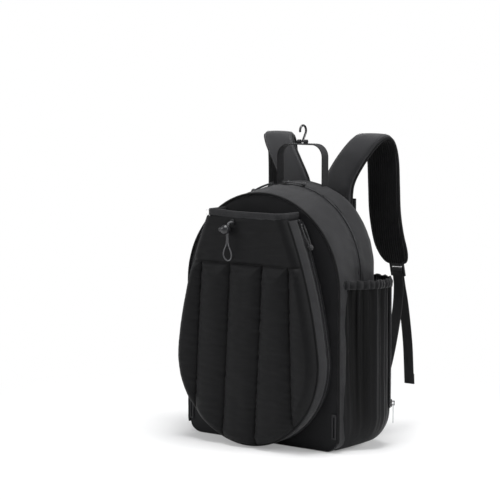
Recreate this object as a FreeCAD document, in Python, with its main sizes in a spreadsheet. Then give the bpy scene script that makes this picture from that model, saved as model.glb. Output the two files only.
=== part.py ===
"""Racket backpack, in millimetres.

The base stands on the plane Z = 0, the racket pocket faces -Y, the shoulder straps are at +Y
and +X is the side of the right-hand bottle pocket as seen from the front.
Everything on the right-hand side is mirrored across X = 0 to make the left-hand side.
"""
import FreeCAD, Part
import math
import os
import Sketcher

Vector = FreeCAD.Vector
doc = FreeCAD.newDocument("RacketBackpack")

# ---------------------------------------------------------------- driving dimensions
SIZES = {
    # main body: an arch whose section changes a little from the front to the back
    "body_depth": 150,
    "front_radius": 160,
    "front_centre": 271,
    "zip_radius": 152,
    "zip_centre": 291,
    "back_radius": 146,
    "back_centre": 305,
    "base_corner": 18,
    "rear_round": 34,
    "wall": 3,
    "front_panel": 4,
    "piping_radius": 1.8,
    "seam_gap": 0.1,
    # zip closures
    "zip_start": 74,
    "zip_band": 12,
    "zip_end": 200,
    "tape": 1.2,
    "coil_width": 3.2,
    "coil_rise": 1.2,
    "slider_gap": 0.25,
    "slider_length": 12,
    "slider_width": 8,
    "slider_rise": 2.6,
    "crown_width": 2.4,
    "crown_rise": 4.6,
    "left_slider_angle": 13.5,
    "right_slider_angle": 3.5,
    # racket pocket: a round foot and two long side arcs that lean in to a straight top edge
    "pocket_depth": 45,
    "pocket_radius": 147,
    "pocket_centre": 150,
    "side_radius": 800,
    "side_angle": 7,
    "pocket_top": 404,
    "pocket_panel": 16,
    "pocket_round": 11,
    "pocket_wall": 3,
    "hem_height": 12,
    "pocket_zip_near": 4,
    "pocket_zip_band": 10,
    "pocket_slider_angle": 23,
    # back, base and inside
    "back_pad": 10,
    "back_pad_inset": 38,
    "back_pad_foot": 36,
    "mesh_pad": 6,
    "mesh_pad_width": 66,
    "mesh_pad_height": 230,
    "mesh_pad_foot": 126,
    "lumbar_height": 76,
    "lumbar_foot": 40,
    "board": 2,
    "board_inset": 45,
    "board_foot": 40,
    "divider": 5,
    "divider_top": 300,
    "divider_inset": 20,
    # bottle pockets
    "bottle_set_in": 5,
    "bottle_centre_y": 84,
    "bottle_radius": 54,
    "bottle_root": 20,
    "bottle_foot_radius": 36,
    "bottle_foot": 6,
    "bottle_full": 58,
    "bottle_top": 276,
    "bottle_wall": 2.4,
    "bottle_front": 7,
    "bottle_rear_margin": 12,
    "rim_height": 15,
    "slit_angle": 31,
    "slit_width": 12,
    "slit_foot": 66,
    "side_tape": 2.1,
    "tab_length": 34,
    "tab_width": 7,
    "tab_thickness": 1.2,
    # shoulder straps and webbing
    "strap_width": 62,
    "strap_foam": 8,
    "strap_mesh": 4,
    "web_width": 20,
    "web": 1.6,
    "lock_width": 29,
    "lock_height": 24,
    "lock_thickness": 3.4,
    "lock_bar": 3,
    "wing": 2.4,
    "wing_foot": 20,
    "wing_outer": 44,
    "wing_inner": 78,
    "yoke": 2.5,
    "yoke_half": 80,
    "yoke_drop": 68,
    "yoke_height": 34,
    "soft_gap": 0.3,
    # small loops
    "ring_radius": 6.5,
    "ring_cord": 1,
    "pull_foot": 24,
    "pull_height": 42,
    "pull_width": 8,
    "pull_edge": 2,
    "pull_fold": 4,
    # grab handle and fence hook
    "handle_set_in": 28,
    "handle_half": 48,
    "handle_top": 512,
    "handle_corner": 22,
    "handle_web": 2,
    "hook_wire": 2,
    "hook_bar": 22,
    "hook_fit": 0.08,
    "ear_wall": 1.5,
    "ear_length": 6,
    "ear_gap": 8,
    "hook_shank": 17,
    "hook_bend": 9,
    "hook_lean": 32,
    # drawcord
    "eyelet_x": -21,
    "eyelet_z": 386,
    "eyelet_radius": 4.6,
    "eyelet_hole": 2.4,
    "toggle_radius": 8.5,
    "toggle_x": -8,
    "toggle_drop": 13,
    "toggle_hole": 2.4,
    "button_radius": 4,
    "button_length": 8,
    "button_travel": 3,
    "button_fit": 0.08,
    "button_well": 5,
    "spring_length": 4.6,
    "washer": 1,
    "cord": 1,
    "pull_cord": 1.1,
}
sheet = doc.addObject("Spreadsheet::Sheet", "Sizes")
for row, (alias, number) in enumerate(SIZES.items(), start=1):
    sheet.set(f"A{row}", alias.replace("_", " "))
    sheet.set(f"B{row}", str(number))
    sheet.setAlias(f"B{row}", alias)
doc.recompute()

BACK = "(Sizes.body_depth + Sizes.back_pad)"
TOP = "(Sizes.back_centre + Sizes.back_radius)"
kept = []


# ---------------------------------------------------------------- ways of making a sub-part
def value(expression):
    """Number that an expression on the sheet comes to."""
    return float(sheet.evalExpression(str(expression)))


def bind(thing, **expressions):
    """Bind properties to the sheet; two underscores stand for a dot."""
    for path, expression in expressions.items():
        thing.setExpression(path.replace("__", "."), str(expression))
    return thing


def keep(thing):
    """Mark a finished sub-part for its own file."""
    thing.Label = thing.Name
    kept.append(thing)
    return thing


def new_body(name):
    return doc.addObject("PartDesign::Body", name)


def new_sketch(body, name, role, offset=0):
    """Sketch on one of the body's own origin planes, moved along that plane's normal."""
    sketch = body.newObject("Sketcher::SketchObject", name)
    plane = next(face for face in body.Origin.OriginFeatures if face.Role == role)
    sketch.AttachmentSupport = (plane, [""])
    sketch.MapMode = "FlatFace"
    return bind(sketch, AttachmentOffset__Base__z=offset)


def dimension(sketch, kind, where, expression):
    index = sketch.addConstraint(Sketcher.Constraint(kind, *where, value(expression)))
    sketch.setExpression(f"Constraints[{index}]", str(expression))


def constrain(sketch, kind, *where):
    sketch.addConstraint(Sketcher.Constraint(kind, *where))


def polygon(sketch, corners):
    """Closed outline of straight edges; each corner is a pair of expressions."""
    spots = [Vector(value(across), value(up), 0) for across, up in corners]
    count = len(spots)
    for start, end in zip(spots, spots[1:] + spots[:1]):
        sketch.addGeometry(Part.LineSegment(start, end), False)
    for index in range(count):
        constrain(sketch, "Coincident", index, 2, (index + 1) % count, 1)
    for index, (across, up) in enumerate(corners):
        dimension(sketch, "DistanceX", (-1, 1, index, 1), across)
        dimension(sketch, "DistanceY", (-1, 1, index, 1), up)
    return sketch


def rectangle(sketch, low_x, high_x, low_y, high_y):
    corners = ((low_x, low_y), (high_x, low_y), (high_x, high_y), (low_x, high_y))
    return polygon(sketch, corners)


def disc(sketch, across, up, radius):
    centre = Vector(value(across), value(up), 0)
    index = sketch.addGeometry(Part.Circle(centre, Vector(0, 0, 1), value(radius)), False)
    dimension(sketch, "Radius", (index,), radius)
    dimension(sketch, "DistanceX", (-1, 1, index, 3), across)
    dimension(sketch, "DistanceY", (-1, 1, index, 3), up)
    return sketch


def pad(body, sketch, length, reverse=False):
    feature = body.newObject("PartDesign::Pad", f"{sketch.Name}_pad")
    feature.Profile = sketch
    feature.Reversed = reverse
    return bind(feature, Length=length)


def pocket(body, sketch, length, reverse=False):
    feature = body.newObject("PartDesign::Pocket", f"{sketch.Name}_pocket")
    feature.Profile = sketch
    feature.Reversed = reverse
    return bind(feature, Length=length)


def loft(body, kind, sketches):
    feature = body.newObject(f"PartDesign::{kind}", f"{sketches[0].Name}_loft")
    feature.Profile = sketches[0]
    feature.Sections = list(sketches[1:])
    feature.Ruled = True
    return feature


def combine(kind, name, base, tool):
    """Part::Cut or Part::Common of two objects."""
    feature = doc.addObject(f"Part::{kind}", name)
    feature.Base = base
    feature.Tool = tool
    return feature


def block(name, low, high):
    """Box between two corners, each a triple of expressions."""
    box = doc.addObject("Part::Box", name)
    bind(box, Placement__Base__x=low[0], Placement__Base__y=low[1], Placement__Base__z=low[2])
    size = [f"({end}) - ({start})" for start, end in zip(low, high)]
    return bind(box, Length=size[0], Width=size[1], Height=size[2])


def mirror_image(source, name):
    copy = doc.addObject("Part::Mirroring", name)
    copy.Source = source
    copy.Normal = (1, 0, 0)
    return copy


def mirrored(source, name):
    """The same piece on the left-hand side, as a sub-part of its own."""
    return keep(mirror_image(source, name))


def group(name, pieces):
    """Several separate solids in one sub-part."""
    together = doc.addObject("Part::Compound", name)
    together.Links = pieces
    return keep(together)


def pair(source, name):
    """A right-hand piece and its mirror image in one sub-part."""
    return group(name, [source, mirror_image(source, f"{name}_mirror")])


# ---------------------------------------------------------------- arch-shaped pieces
def arch(body, name, depth, radius, centre, inset=0, foot=None):
    """Outline of the main body at a depth: half circle on straight sides, rounded base corners."""
    sketch = new_sketch(body, name, "XZ_Plane", f"-({depth})")
    top = f"{radius} - ({inset})"
    corner = f"max(Sizes.base_corner - ({inset}); Sizes.wall)"
    floor = f"{inset}" if foot is None else foot
    reach, rise = value(top), value(centre)
    bend, low = value(corner), value(floor)
    upward = Vector(0, 0, 1)

    def arc(middle, size, start, end):
        circle = Part.Circle(middle, upward, size)
        sketch.addGeometry(Part.ArcOfCircle(circle, math.radians(start), math.radians(end)), False)

    def line(start, end):
        sketch.addGeometry(Part.LineSegment(Vector(*start, 0), Vector(*end, 0)), False)

    arc(Vector(0, rise, 0), reach, 0, 180)
    line((-reach, rise), (-reach, low + bend))
    arc(Vector(-reach + bend, low + bend, 0), bend, 180, 270)
    line((-reach + bend, low), (reach - bend, low))
    arc(Vector(reach - bend, low + bend, 0), bend, 270, 360)
    line((reach, low + bend), (reach, rise))
    for index in range(6):
        constrain(sketch, "Tangent", index, 2, (index + 1) % 6, 1)
    constrain(sketch, "PointOnObject", 0, 3, -2)
    constrain(sketch, "Vertical", 1)
    constrain(sketch, "Vertical", 5)
    constrain(sketch, "Equal", 2, 4)
    dimension(sketch, "Radius", (0,), top)
    dimension(sketch, "Radius", (2,), corner)
    dimension(sketch, "DistanceY", (-1, 1, 0, 3), centre)
    dimension(sketch, "DistanceY", (-1, 1, 3, 1), floor)
    constrain(sketch, "Horizontal", 3)
    return sketch


FRONT = ("Sizes.front_radius", "Sizes.front_centre")
ZIP = ("Sizes.zip_radius", "Sizes.zip_centre")
REAR = ("Sizes.back_radius", "Sizes.back_centre")
ZIP_END_Y = "Sizes.zip_start + Sizes.zip_band"


def arch_ring(name, near, far, first, last, wall):
    """Hollow band between two depths."""
    body = new_body(name)
    outer = [arch(body, f"{name}_near", near, *first), arch(body, f"{name}_far", far, *last)]
    loft(body, "AdditiveLoft", outer)
    inner = [
        arch(body, f"{name}_hollow_near", near, *first, inset=wall),
        arch(body, f"{name}_hollow_far", far, *last, inset=wall),
    ]
    loft(body, "SubtractiveLoft", inner)
    return body


def arch_plate(name, near, far, outline, inset=0, foot=None):
    """Flat panel with the body's outline."""
    body = new_body(name)
    pad(body, arch(body, f"{name}_outline", near, *outline, inset=inset, foot=foot),
        f"({far}) - ({near})", reverse=True)
    return body


keep(arch_plate("front_panel", 0, "Sizes.front_panel", FRONT))
keep(arch_ring("front_gusset", "Sizes.front_panel", "Sizes.zip_start", FRONT, ZIP, "Sizes.wall"))

# Rear shell: gusset and back wall, rounded where they meet.
ROUND_STEPS = (0, 30, 60, 90)


def rear_outline(depth):
    """Radius and centre height of the outline between the zip and the back."""
    share = f"(({depth}) - ({ZIP_END_Y})) / (Sizes.body_depth - ({ZIP_END_Y}))"
    radius = f"(Sizes.zip_radius + (Sizes.back_radius - Sizes.zip_radius) * {share})"
    centre = f"(Sizes.zip_centre + (Sizes.back_centre - Sizes.zip_centre) * {share})"
    return radius, centre


def rear_form(kind, body, name, wall):
    """Loft from the zip to the back wall, set in by the wall all round."""
    turn = f"(Sizes.rear_round - ({wall}))"
    sketches = [arch(body, f"{name}_near", ZIP_END_Y, *ZIP, inset=wall)]
    for angle in ROUND_STEPS:
        depth = f"(Sizes.body_depth - Sizes.rear_round + {turn} * sin({angle}))"
        inset = f"({wall} + {turn} * (1 - cos({angle})))"
        sketches.append(arch(body, f"{name}_{angle}", depth, *rear_outline(depth), inset=inset))
    loft(body, kind, sketches)


rear_shell = new_body("rear_shell")
rear_form("AdditiveLoft", rear_shell, "rear_outer", "0")
rear_form("SubtractiveLoft", rear_shell, "rear_inner", "Sizes.wall")
keep(rear_shell)

# Zip band: two tapes and a coil over the top, plain fabric below the zip's ends.
WIDE = "(Sizes.front_radius + 20)"
COIL_Y = "(Sizes.zip_start + Sizes.zip_band / 2)"
above_zip = block("above_zip", (f"-{WIDE}", 0, "Sizes.zip_end"), (WIDE, "Sizes.body_depth", 600))
below_zip = block("below_zip", (f"-{WIDE}", 0, -10), (WIDE, "Sizes.body_depth", "Sizes.zip_end"))


def zip_ring(name, near, far, rise, depth):
    """Band of constant section that stands proud by rise and reaches inward by depth."""
    body = new_body(name)
    pad(body, arch(body, f"{name}_outer", near, *ZIP, inset=f"-({rise})"),
        f"({far}) - ({near})", reverse=True)
    pocket(body, arch(body, f"{name}_inner", near, *ZIP, inset=depth), f"({far}) - ({near})")
    return body


HALF_COIL = "Sizes.coil_width / 2"
tape_near = zip_ring("tape_near", "Sizes.zip_start", f"{COIL_Y} - {HALF_COIL}", 0, "Sizes.tape")
tape_far = zip_ring("tape_far", f"{COIL_Y} + {HALF_COIL}", ZIP_END_Y, 0, "Sizes.tape")
coil_ring = zip_ring("coil_ring", f"{COIL_Y} - {HALF_COIL}", f"{COIL_Y} + {HALF_COIL}",
                     "Sizes.coil_rise", "Sizes.tape")
bridge = zip_ring("bridge_ring", "Sizes.zip_start", ZIP_END_Y, 0, "Sizes.wall")
group("main_zip_tapes", [
    combine("Common", "main_tape_front", tape_near, above_zip),
    combine("Common", "main_tape_rear", tape_far, above_zip),
])
keep(combine("Common", "main_zip_coil", coil_ring, above_zip))
keep(combine("Common", "lower_gusset_strip", bridge, below_zip))


# Piping over the front seam.
def piping(name, depth, outline, foot):
    body = new_body(name)
    path = new_sketch(body, f"{name}_path", "XZ_Plane", f"-({depth})")
    radius = f"{outline[0]} + Sizes.piping_radius + Sizes.seam_gap"
    reach, rise, low = value(radius), value(outline[1]), value(foot)
    circle = Part.Circle(Vector(0, rise, 0), Vector(0, 0, 1), reach)
    path.addGeometry(Part.LineSegment(Vector(reach, low, 0), Vector(reach, rise, 0)), False)
    path.addGeometry(Part.ArcOfCircle(circle, 0, math.pi), False)
    path.addGeometry(Part.LineSegment(Vector(-reach, rise, 0), Vector(-reach, low, 0)), False)
    constrain(path, "Tangent", 0, 2, 1, 1)
    constrain(path, "Tangent", 1, 2, 2, 1)
    constrain(path, "Vertical", 0)
    constrain(path, "Vertical", 2)
    constrain(path, "PointOnObject", 1, 3, -2)
    dimension(path, "Radius", (1,), radius)
    dimension(path, "DistanceY", (-1, 1, 1, 3), outline[1])
    dimension(path, "DistanceY", (-1, 1, 0, 1), foot)
    dimension(path, "DistanceY", (-1, 1, 2, 2), foot)
    section = new_sketch(body, f"{name}_section", "XY_Plane", foot)
    disc(section, radius, depth, "Sizes.piping_radius")
    feature = body.newObject("PartDesign::AdditivePipe", f"{name}_pipe")
    feature.Profile = section
    feature.Spine = (path, ["Edge1", "Edge2", "Edge3"])
    return body


keep(piping("front_piping", "Sizes.front_panel / 2", FRONT, "Sizes.base_corner + 2"))

# Back: padded panel, two mesh pads, lumbar pad, stiffener board and sleeve divider.
INNER_BACK = "(Sizes.body_depth - Sizes.wall)"
keep(arch_plate("back_panel", "Sizes.body_depth", BACK,
                ("(Sizes.back_radius - Sizes.back_pad_inset)", "Sizes.back_centre"),
                foot="Sizes.back_pad_foot"))


def pad_block(name, low_x, high_x, low_z, high_z):
    body = new_body(name)
    sketch = new_sketch(body, f"{name}_outline", "XZ_Plane", f"-({BACK})")
    rectangle(sketch, low_x, high_x, low_z, high_z)
    pad(body, sketch, "Sizes.mesh_pad", reverse=True)
    return body


PAD_EDGE = "(Sizes.back_radius - Sizes.back_pad_inset - 6)"
pair(pad_block("back_mesh_pad", f"{PAD_EDGE} - Sizes.mesh_pad_width", PAD_EDGE,
               "Sizes.mesh_pad_foot", "Sizes.mesh_pad_foot + Sizes.mesh_pad_height"), "back_mesh_pads")
keep(pad_block("lumbar_pad", f"-{PAD_EDGE}", PAD_EDGE,
               "Sizes.lumbar_foot", "Sizes.lumbar_foot + Sizes.lumbar_height"))
keep(arch_plate("stiffener_board", f"{INNER_BACK} - Sizes.board", INNER_BACK,
                ("(Sizes.back_radius - Sizes.board_inset)", "Sizes.back_centre"),
                foot="Sizes.board_foot"))
divider_far = "(Sizes.body_depth - Sizes.rear_round)"
keep(block("sleeve_divider",
           ("-(Sizes.back_radius - Sizes.divider_inset)", f"{divider_far} - Sizes.divider",
            "Sizes.wall"),
           ("Sizes.back_radius - Sizes.divider_inset", divider_far, "Sizes.divider_top")))


# ---------------------------------------------------------------- racket pocket
LEAN = "(Sizes.side_radius - Sizes.pocket_radius)"
SIDE_X = f"({LEAN} * cos(Sizes.side_angle))"
SIDE_Z = f"(Sizes.pocket_centre - {LEAN} * sin(Sizes.side_angle))"


def racket_outline(body, name, depth, inset=0, top="Sizes.pocket_top"):
    """Round foot, two long side arcs tangent to it, straight top edge."""
    sketch = new_sketch(body, name, "XZ_Plane", f"-({depth})")
    foot = f"Sizes.pocket_radius - ({inset})"
    side = f"Sizes.side_radius - ({inset})"
    upward = Vector(0, 0, 1)
    swing = math.radians(value("Sizes.side_angle"))
    centre_x, centre_z = value(SIDE_X), value(SIDE_Z)
    reach = math.asin((value(top) - centre_z) / value(side))
    low = Part.Circle(Vector(0, value("Sizes.pocket_centre"), 0), upward, value(foot))
    right = Part.Circle(Vector(-centre_x, centre_z, 0), upward, value(side))
    left = Part.Circle(Vector(centre_x, centre_z, 0), upward, value(side))
    corner = -centre_x + value(side) * math.cos(reach)
    height = value(top)
    sketch.addGeometry(Part.ArcOfCircle(low, math.pi - swing, 2 * math.pi + swing), False)
    sketch.addGeometry(Part.ArcOfCircle(right, swing, reach), False)
    sketch.addGeometry(Part.LineSegment(Vector(corner, height, 0), Vector(-corner, height, 0)), False)
    sketch.addGeometry(Part.ArcOfCircle(left, math.pi - reach, math.pi - swing), False)
    constrain(sketch, "Tangent", 0, 2, 1, 1)
    constrain(sketch, "Tangent", 3, 2, 0, 1)
    constrain(sketch, "Coincident", 1, 2, 2, 1)
    constrain(sketch, "Coincident", 2, 2, 3, 1)
    constrain(sketch, "PointOnObject", 0, 3, -2)
    dimension(sketch, "DistanceY", (-1, 1, 0, 3), "Sizes.pocket_centre")
    dimension(sketch, "Radius", (0,), foot)
    dimension(sketch, "Radius", (1,), side)
    dimension(sketch, "Radius", (3,), side)
    dimension(sketch, "DistanceX", (1, 3, -1, 1), SIDE_X)
    dimension(sketch, "DistanceX", (-1, 1, 3, 3), SIDE_X)
    constrain(sketch, "Horizontal", 2)
    dimension(sketch, "DistanceY", (-1, 1, 2, 1), top)
    return sketch


def racket_band(name, near, far, rise, depth, top="Sizes.pocket_top"):
    """Open-topped band round the pocket that stands proud by rise and reaches in by depth."""
    body = new_body(name)
    long = f"({far}) - ({near})"
    pad(body, racket_outline(body, f"{name}_outer", near, f"-({rise})", top), long, reverse=True)
    inner = racket_outline(body, f"{name}_inner", near, depth, f"{top} + 2 * Sizes.hem_height")
    pocket(body, inner, long)
    return body


HEM_LOW = "(Sizes.pocket_top - Sizes.hem_height)"
FACE = "(-Sizes.pocket_depth)"
PANEL_BACK = "(-Sizes.pocket_depth + Sizes.pocket_panel / 2)"
ZIP_FAR = "(-Sizes.pocket_zip_near)"
ZIP_NEAR = "(-Sizes.pocket_zip_near - Sizes.pocket_zip_band)"
POCKET_COIL_Y = "(-Sizes.pocket_zip_near - Sizes.pocket_zip_band / 2)"

# Quilted front panel with a rounded front edge.
front = new_body("racket_pocket_front")
racket_face = f"({PANEL_BACK} - Sizes.pocket_panel)"
loft(front, "AdditiveLoft", [
    racket_outline(front, "quilt_face", racket_face, "Sizes.pocket_round", HEM_LOW),
    racket_outline(front, "quilt_shoulder", f"{racket_face} + Sizes.pocket_round / 3",
                   "Sizes.pocket_round / 3", HEM_LOW),
    racket_outline(front, "quilt_edge", f"{racket_face} + Sizes.pocket_round", 0, HEM_LOW),
    racket_outline(front, "quilt_back", PANEL_BACK, 0, HEM_LOW),
])
keep(front)
keep(racket_band("racket_pocket_gusset", PANEL_BACK, ZIP_NEAR, 0, "Sizes.pocket_wall", HEM_LOW))
keep(racket_band("racket_pocket_flange", ZIP_FAR, "-Sizes.seam_gap", 0, "Sizes.pocket_wall", HEM_LOW))

# The zip runs from the top right corner to the foot; plain fabric closes the left side.
right_half = block("right_half", (0, -100, -20), (WIDE, 0, HEM_LOW))
left_half = block("left_half", (f"-{WIDE}", -100, -20), (0, 0, HEM_LOW))
coil_near, coil_far = f"{POCKET_COIL_Y} - {HALF_COIL}", f"{POCKET_COIL_Y} + {HALF_COIL}"
racket_zip = [
    combine("Common", label, racket_band(f"{label}_ring", near, far, rise, depth), half)
    for label, near, far, rise, depth, half in (
        ("racket_tape_front", ZIP_NEAR, coil_near, 0, "Sizes.tape", right_half),
        ("racket_tape_rear", coil_far, ZIP_FAR, 0, "Sizes.tape", right_half),
        ("racket_zip_coil", coil_near, coil_far, "Sizes.coil_rise", "Sizes.tape", right_half),
        ("racket_pocket_hinge_strip", ZIP_NEAR, ZIP_FAR, 0, "Sizes.pocket_wall", left_half),
    )
]
group("racket_zip_tapes", racket_zip[:2])
keep(racket_zip[2])
keep(racket_zip[3])

# Bound hem along the pocket's mouth: a strip across the front and down over the gusset's ends.
hem = new_body("racket_pocket_hem")
hem_width = f"(sqrt(pow(Sizes.side_radius; 2) - pow(Sizes.pocket_top - {SIDE_Z}; 2)) - {SIDE_X})"
hem_plan = new_sketch(hem, "hem_plan", "XY_Plane", HEM_LOW)
hem_front = f"({racket_face} + Sizes.pocket_round / 2)"
polygon(hem_plan, (
    (f"-{hem_width}", hem_front), (hem_width, hem_front), (hem_width, "-Sizes.seam_gap"),
    (f"{hem_width} - Sizes.pocket_wall", "-Sizes.seam_gap"),
    (f"{hem_width} - Sizes.pocket_wall", PANEL_BACK),
    (f"-{hem_width} + Sizes.pocket_wall", PANEL_BACK),
    (f"-{hem_width} + Sizes.pocket_wall", "-Sizes.seam_gap"),
    (f"-{hem_width}", "-Sizes.seam_gap"),
))
pad(hem, hem_plan, "Sizes.hem_height")
keep(hem)


# ---------------------------------------------------------------- bottle pockets
BOTTLE_X = "(Sizes.zip_radius - Sizes.bottle_set_in)"
BOTTLE_REAR = "(Sizes.body_depth - Sizes.bottle_rear_margin)"


def belt(body, name, height, radius, inset=0, deeper=0):
    """Section of a bottle pocket: from the front seam, round the bottle, to the rear seam."""
    sketch = new_sketch(body, name, "XY_Plane", height)
    centre_x, centre_y = BOTTLE_X, "Sizes.bottle_centre_y"
    inner_x = f"({BOTTLE_X} - Sizes.bottle_root - ({deeper}))"
    reach = f"{radius} - ({inset})"
    front_y, rear_y = f"(Sizes.bottle_front + ({inset}))", f"({BOTTLE_REAR} - ({inset}))"
    front_x, rear_x = "(Sizes.zip_radius - 2)", "(Sizes.back_radius - 12)"
    middle = Vector(value(centre_x), value(centre_y), 0)
    size = value(reach)

    def touch(across, along, sign):
        gap = Vector(value(across), value(along), 0) - middle
        return math.atan2(gap.y, gap.x) + sign * math.acos(size / gap.Length)

    first, last = touch(front_x, front_y, 1), touch(rear_x, rear_y, -1)
    circle = Part.Circle(middle, Vector(0, 0, 1), size)
    arc = Part.ArcOfCircle(circle, first, last)
    spots = [Vector(value(x), value(y), 0) for x, y in (
        (inner_x, front_y), (front_x, front_y), (rear_x, rear_y), (inner_x, rear_y))]
    sketch.addGeometry(Part.LineSegment(spots[0], spots[1]), False)
    sketch.addGeometry(Part.LineSegment(spots[1], arc.StartPoint), False)
    sketch.addGeometry(arc, False)
    sketch.addGeometry(Part.LineSegment(arc.EndPoint, spots[2]), False)
    sketch.addGeometry(Part.LineSegment(spots[2], spots[3]), False)
    sketch.addGeometry(Part.LineSegment(spots[3], spots[0]), False)
    for one, other in ((0, 1), (3, 4), (4, 5), (5, 0)):
        constrain(sketch, "Coincident", one, 2, other, 1)
    constrain(sketch, "Tangent", 1, 2, 2, 1)
    constrain(sketch, "Tangent", 2, 2, 3, 1)
    dimension(sketch, "Radius", (2,), reach)
    dimension(sketch, "DistanceX", (-1, 1, 2, 3), centre_x)
    dimension(sketch, "DistanceY", (-1, 1, 2, 3), centre_y)
    for index, across, along in ((0, inner_x, front_y), (1, front_x, front_y),
                                 (4, rear_x, rear_y), (5, inner_x, rear_y)):
        dimension(sketch, "DistanceX", (-1, 1, index, 1), across)
        dimension(sketch, "DistanceY", (-1, 1, index, 1), along)
    return sketch


# Solid envelope of the whole main body, used only to trim what is sewn to its sides.
envelope = new_body("body_envelope")
loft(envelope, "AdditiveLoft", [
    arch(envelope, "envelope_front", "Sizes.front_panel", *FRONT, inset="-Sizes.seam_gap"),
    arch(envelope, "envelope_zip_near", "Sizes.zip_start", *ZIP, inset="-Sizes.seam_gap"),
    arch(envelope, "envelope_zip_far", ZIP_END_Y, *ZIP, inset="-Sizes.seam_gap"),
] + [
    arch(envelope, f"envelope_{angle}",
         f"(Sizes.body_depth - Sizes.rear_round * (1 - sin({angle})))",
         *rear_outline(f"(Sizes.body_depth - Sizes.rear_round * (1 - sin({angle})))"),
         inset=f"(Sizes.rear_round * (1 - cos({angle})) - Sizes.seam_gap)")
    for angle in ROUND_STEPS
])

FOOT, FULL = "Sizes.bottle_foot", "Sizes.bottle_full"
RIM, MOUTH = "Sizes.bottle_top", "(Sizes.bottle_top + Sizes.rim_height)"
WALL = "Sizes.bottle_wall"


def slit_box(name, low, high, width):
    """Upright bar through the pocket's wall where its zip lies."""
    body = new_body(name)
    sketch = new_sketch(body, f"{name}_plan", "XY_Plane", low)
    half = f"({width}) / 2"
    across = ("cos(Sizes.slit_angle)", "sin(Sizes.slit_angle)")
    corners = []
    near, far = "(Sizes.bottle_radius - 8)", "(Sizes.bottle_radius + 8)"
    for along, side in ((near, f"-{half}"), (far, f"-{half}"), (far, half), (near, half)):
        corners.append((
            f"{BOTTLE_X} + {along} * {across[0]} - ({side}) * {across[1]}",
            f"Sizes.bottle_centre_y + {along} * {across[1]} + ({side}) * {across[0]}",
        ))
    pad(body, polygon(sketch, corners), f"({high}) - ({low})")
    return body


cup = new_body("bottle_cup")
loft(cup, "AdditiveLoft", [
    belt(cup, "cup_foot", FOOT, "Sizes.bottle_foot_radius"),
    belt(cup, "cup_full", FULL, "Sizes.bottle_radius"),
    belt(cup, "cup_rim", RIM, "Sizes.bottle_radius"),
])
loft(cup, "SubtractiveLoft", [
    belt(cup, "cup_hollow_foot", f"{FOOT} + {WALL}", "Sizes.bottle_foot_radius", WALL, 30),
    belt(cup, "cup_hollow_full", FULL, "Sizes.bottle_radius", WALL, 30),
    belt(cup, "cup_hollow_rim", RIM, "Sizes.bottle_radius", WALL, 30),
])
slit = slit_box("slit", "Sizes.slit_foot", f"{MOUTH} + 5", "Sizes.slit_width")
cup_trimmed = combine("Cut", "cup_trimmed", cup, envelope)
bottle = keep(combine("Cut", "bottle_pocket_right", cup_trimmed, slit))

rim = new_body("rim_form")
loft(rim, "AdditiveLoft", [
    belt(rim, "rim_low", f"{RIM}", "Sizes.bottle_radius"),
    belt(rim, "rim_high", MOUTH, "Sizes.bottle_radius"),
])
loft(rim, "SubtractiveLoft", [
    belt(rim, "rim_hollow_low", f"{RIM}", "Sizes.bottle_radius", WALL, 30),
    belt(rim, "rim_hollow_high", MOUTH, "Sizes.bottle_radius", WALL, 30),
])
rim_trimmed = combine("Cut", "rim_trimmed", rim, envelope)
rim_slit = slit_box("rim_slit", f"{RIM} - 1", f"{MOUTH} + 5", "Sizes.slit_width")
pair(combine("Cut", "bottle_rim_elastic", rim_trimmed, rim_slit), "bottle_rim_elastics")
mirrored(bottle, "bottle_pocket_left")

# Tapes of the open zip line the slit's two edges.
lips = slit_box("slit_lips", "Sizes.slit_foot", RIM, "Sizes.slit_width")
gap = slit_box("slit_gap", "Sizes.slit_foot - 1", f"{RIM} + 1", "Sizes.slit_width - 2 * Sizes.side_tape")
lip_wall = combine("Common", "lip_wall", cup_trimmed, lips)
pair(combine("Cut", "bottle_zip_tape", lip_wall, gap), "bottle_zip_tapes")


# ---------------------------------------------------------------- sliders, pullers and cords
SLIDER_TOP = "(Sizes.slider_gap + Sizes.slider_rise)"
EYE = f"({SLIDER_TOP} + Sizes.crown_rise * 0.42)"


def slider(name, placement):
    """Slider in its own frame: X along the zip, Y across it, Z outward from the tape."""
    body = new_body(name)
    half, channel = "Sizes.slider_width / 2", "(Sizes.coil_width / 2 + Sizes.slider_gap)"
    ceiling = "(Sizes.coil_rise + Sizes.slider_gap)"
    section = new_sketch(body, f"{name}_section", "YZ_Plane")
    polygon(section, (
        (f"-{half}", "Sizes.slider_gap"), (f"-{channel}", "Sizes.slider_gap"),
        (f"-{channel}", ceiling), (channel, ceiling), (channel, "Sizes.slider_gap"),
        (half, "Sizes.slider_gap"), (half, SLIDER_TOP), (f"-{half}", SLIDER_TOP),
    ))
    pad(body, section, "Sizes.slider_length").Midplane = True
    crown = new_sketch(body, f"{name}_crown", "XZ_Plane")
    reach, crest = "Sizes.slider_length / 3", f"({SLIDER_TOP} + Sizes.crown_rise)"
    leg = "(Sizes.slider_length / 3 - 1.6)"
    polygon(crown, (
        (f"-{reach}", SLIDER_TOP), (f"-{leg}", SLIDER_TOP), (f"-{leg}", f"{crest} - 1.2"),
        (leg, f"{crest} - 1.2"), (leg, SLIDER_TOP), (reach, SLIDER_TOP),
        (reach, crest), (f"-{reach}", crest),
    ))
    pad(body, crown, "Sizes.crown_width").Midplane = True
    body.Placement = placement
    return body


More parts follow.
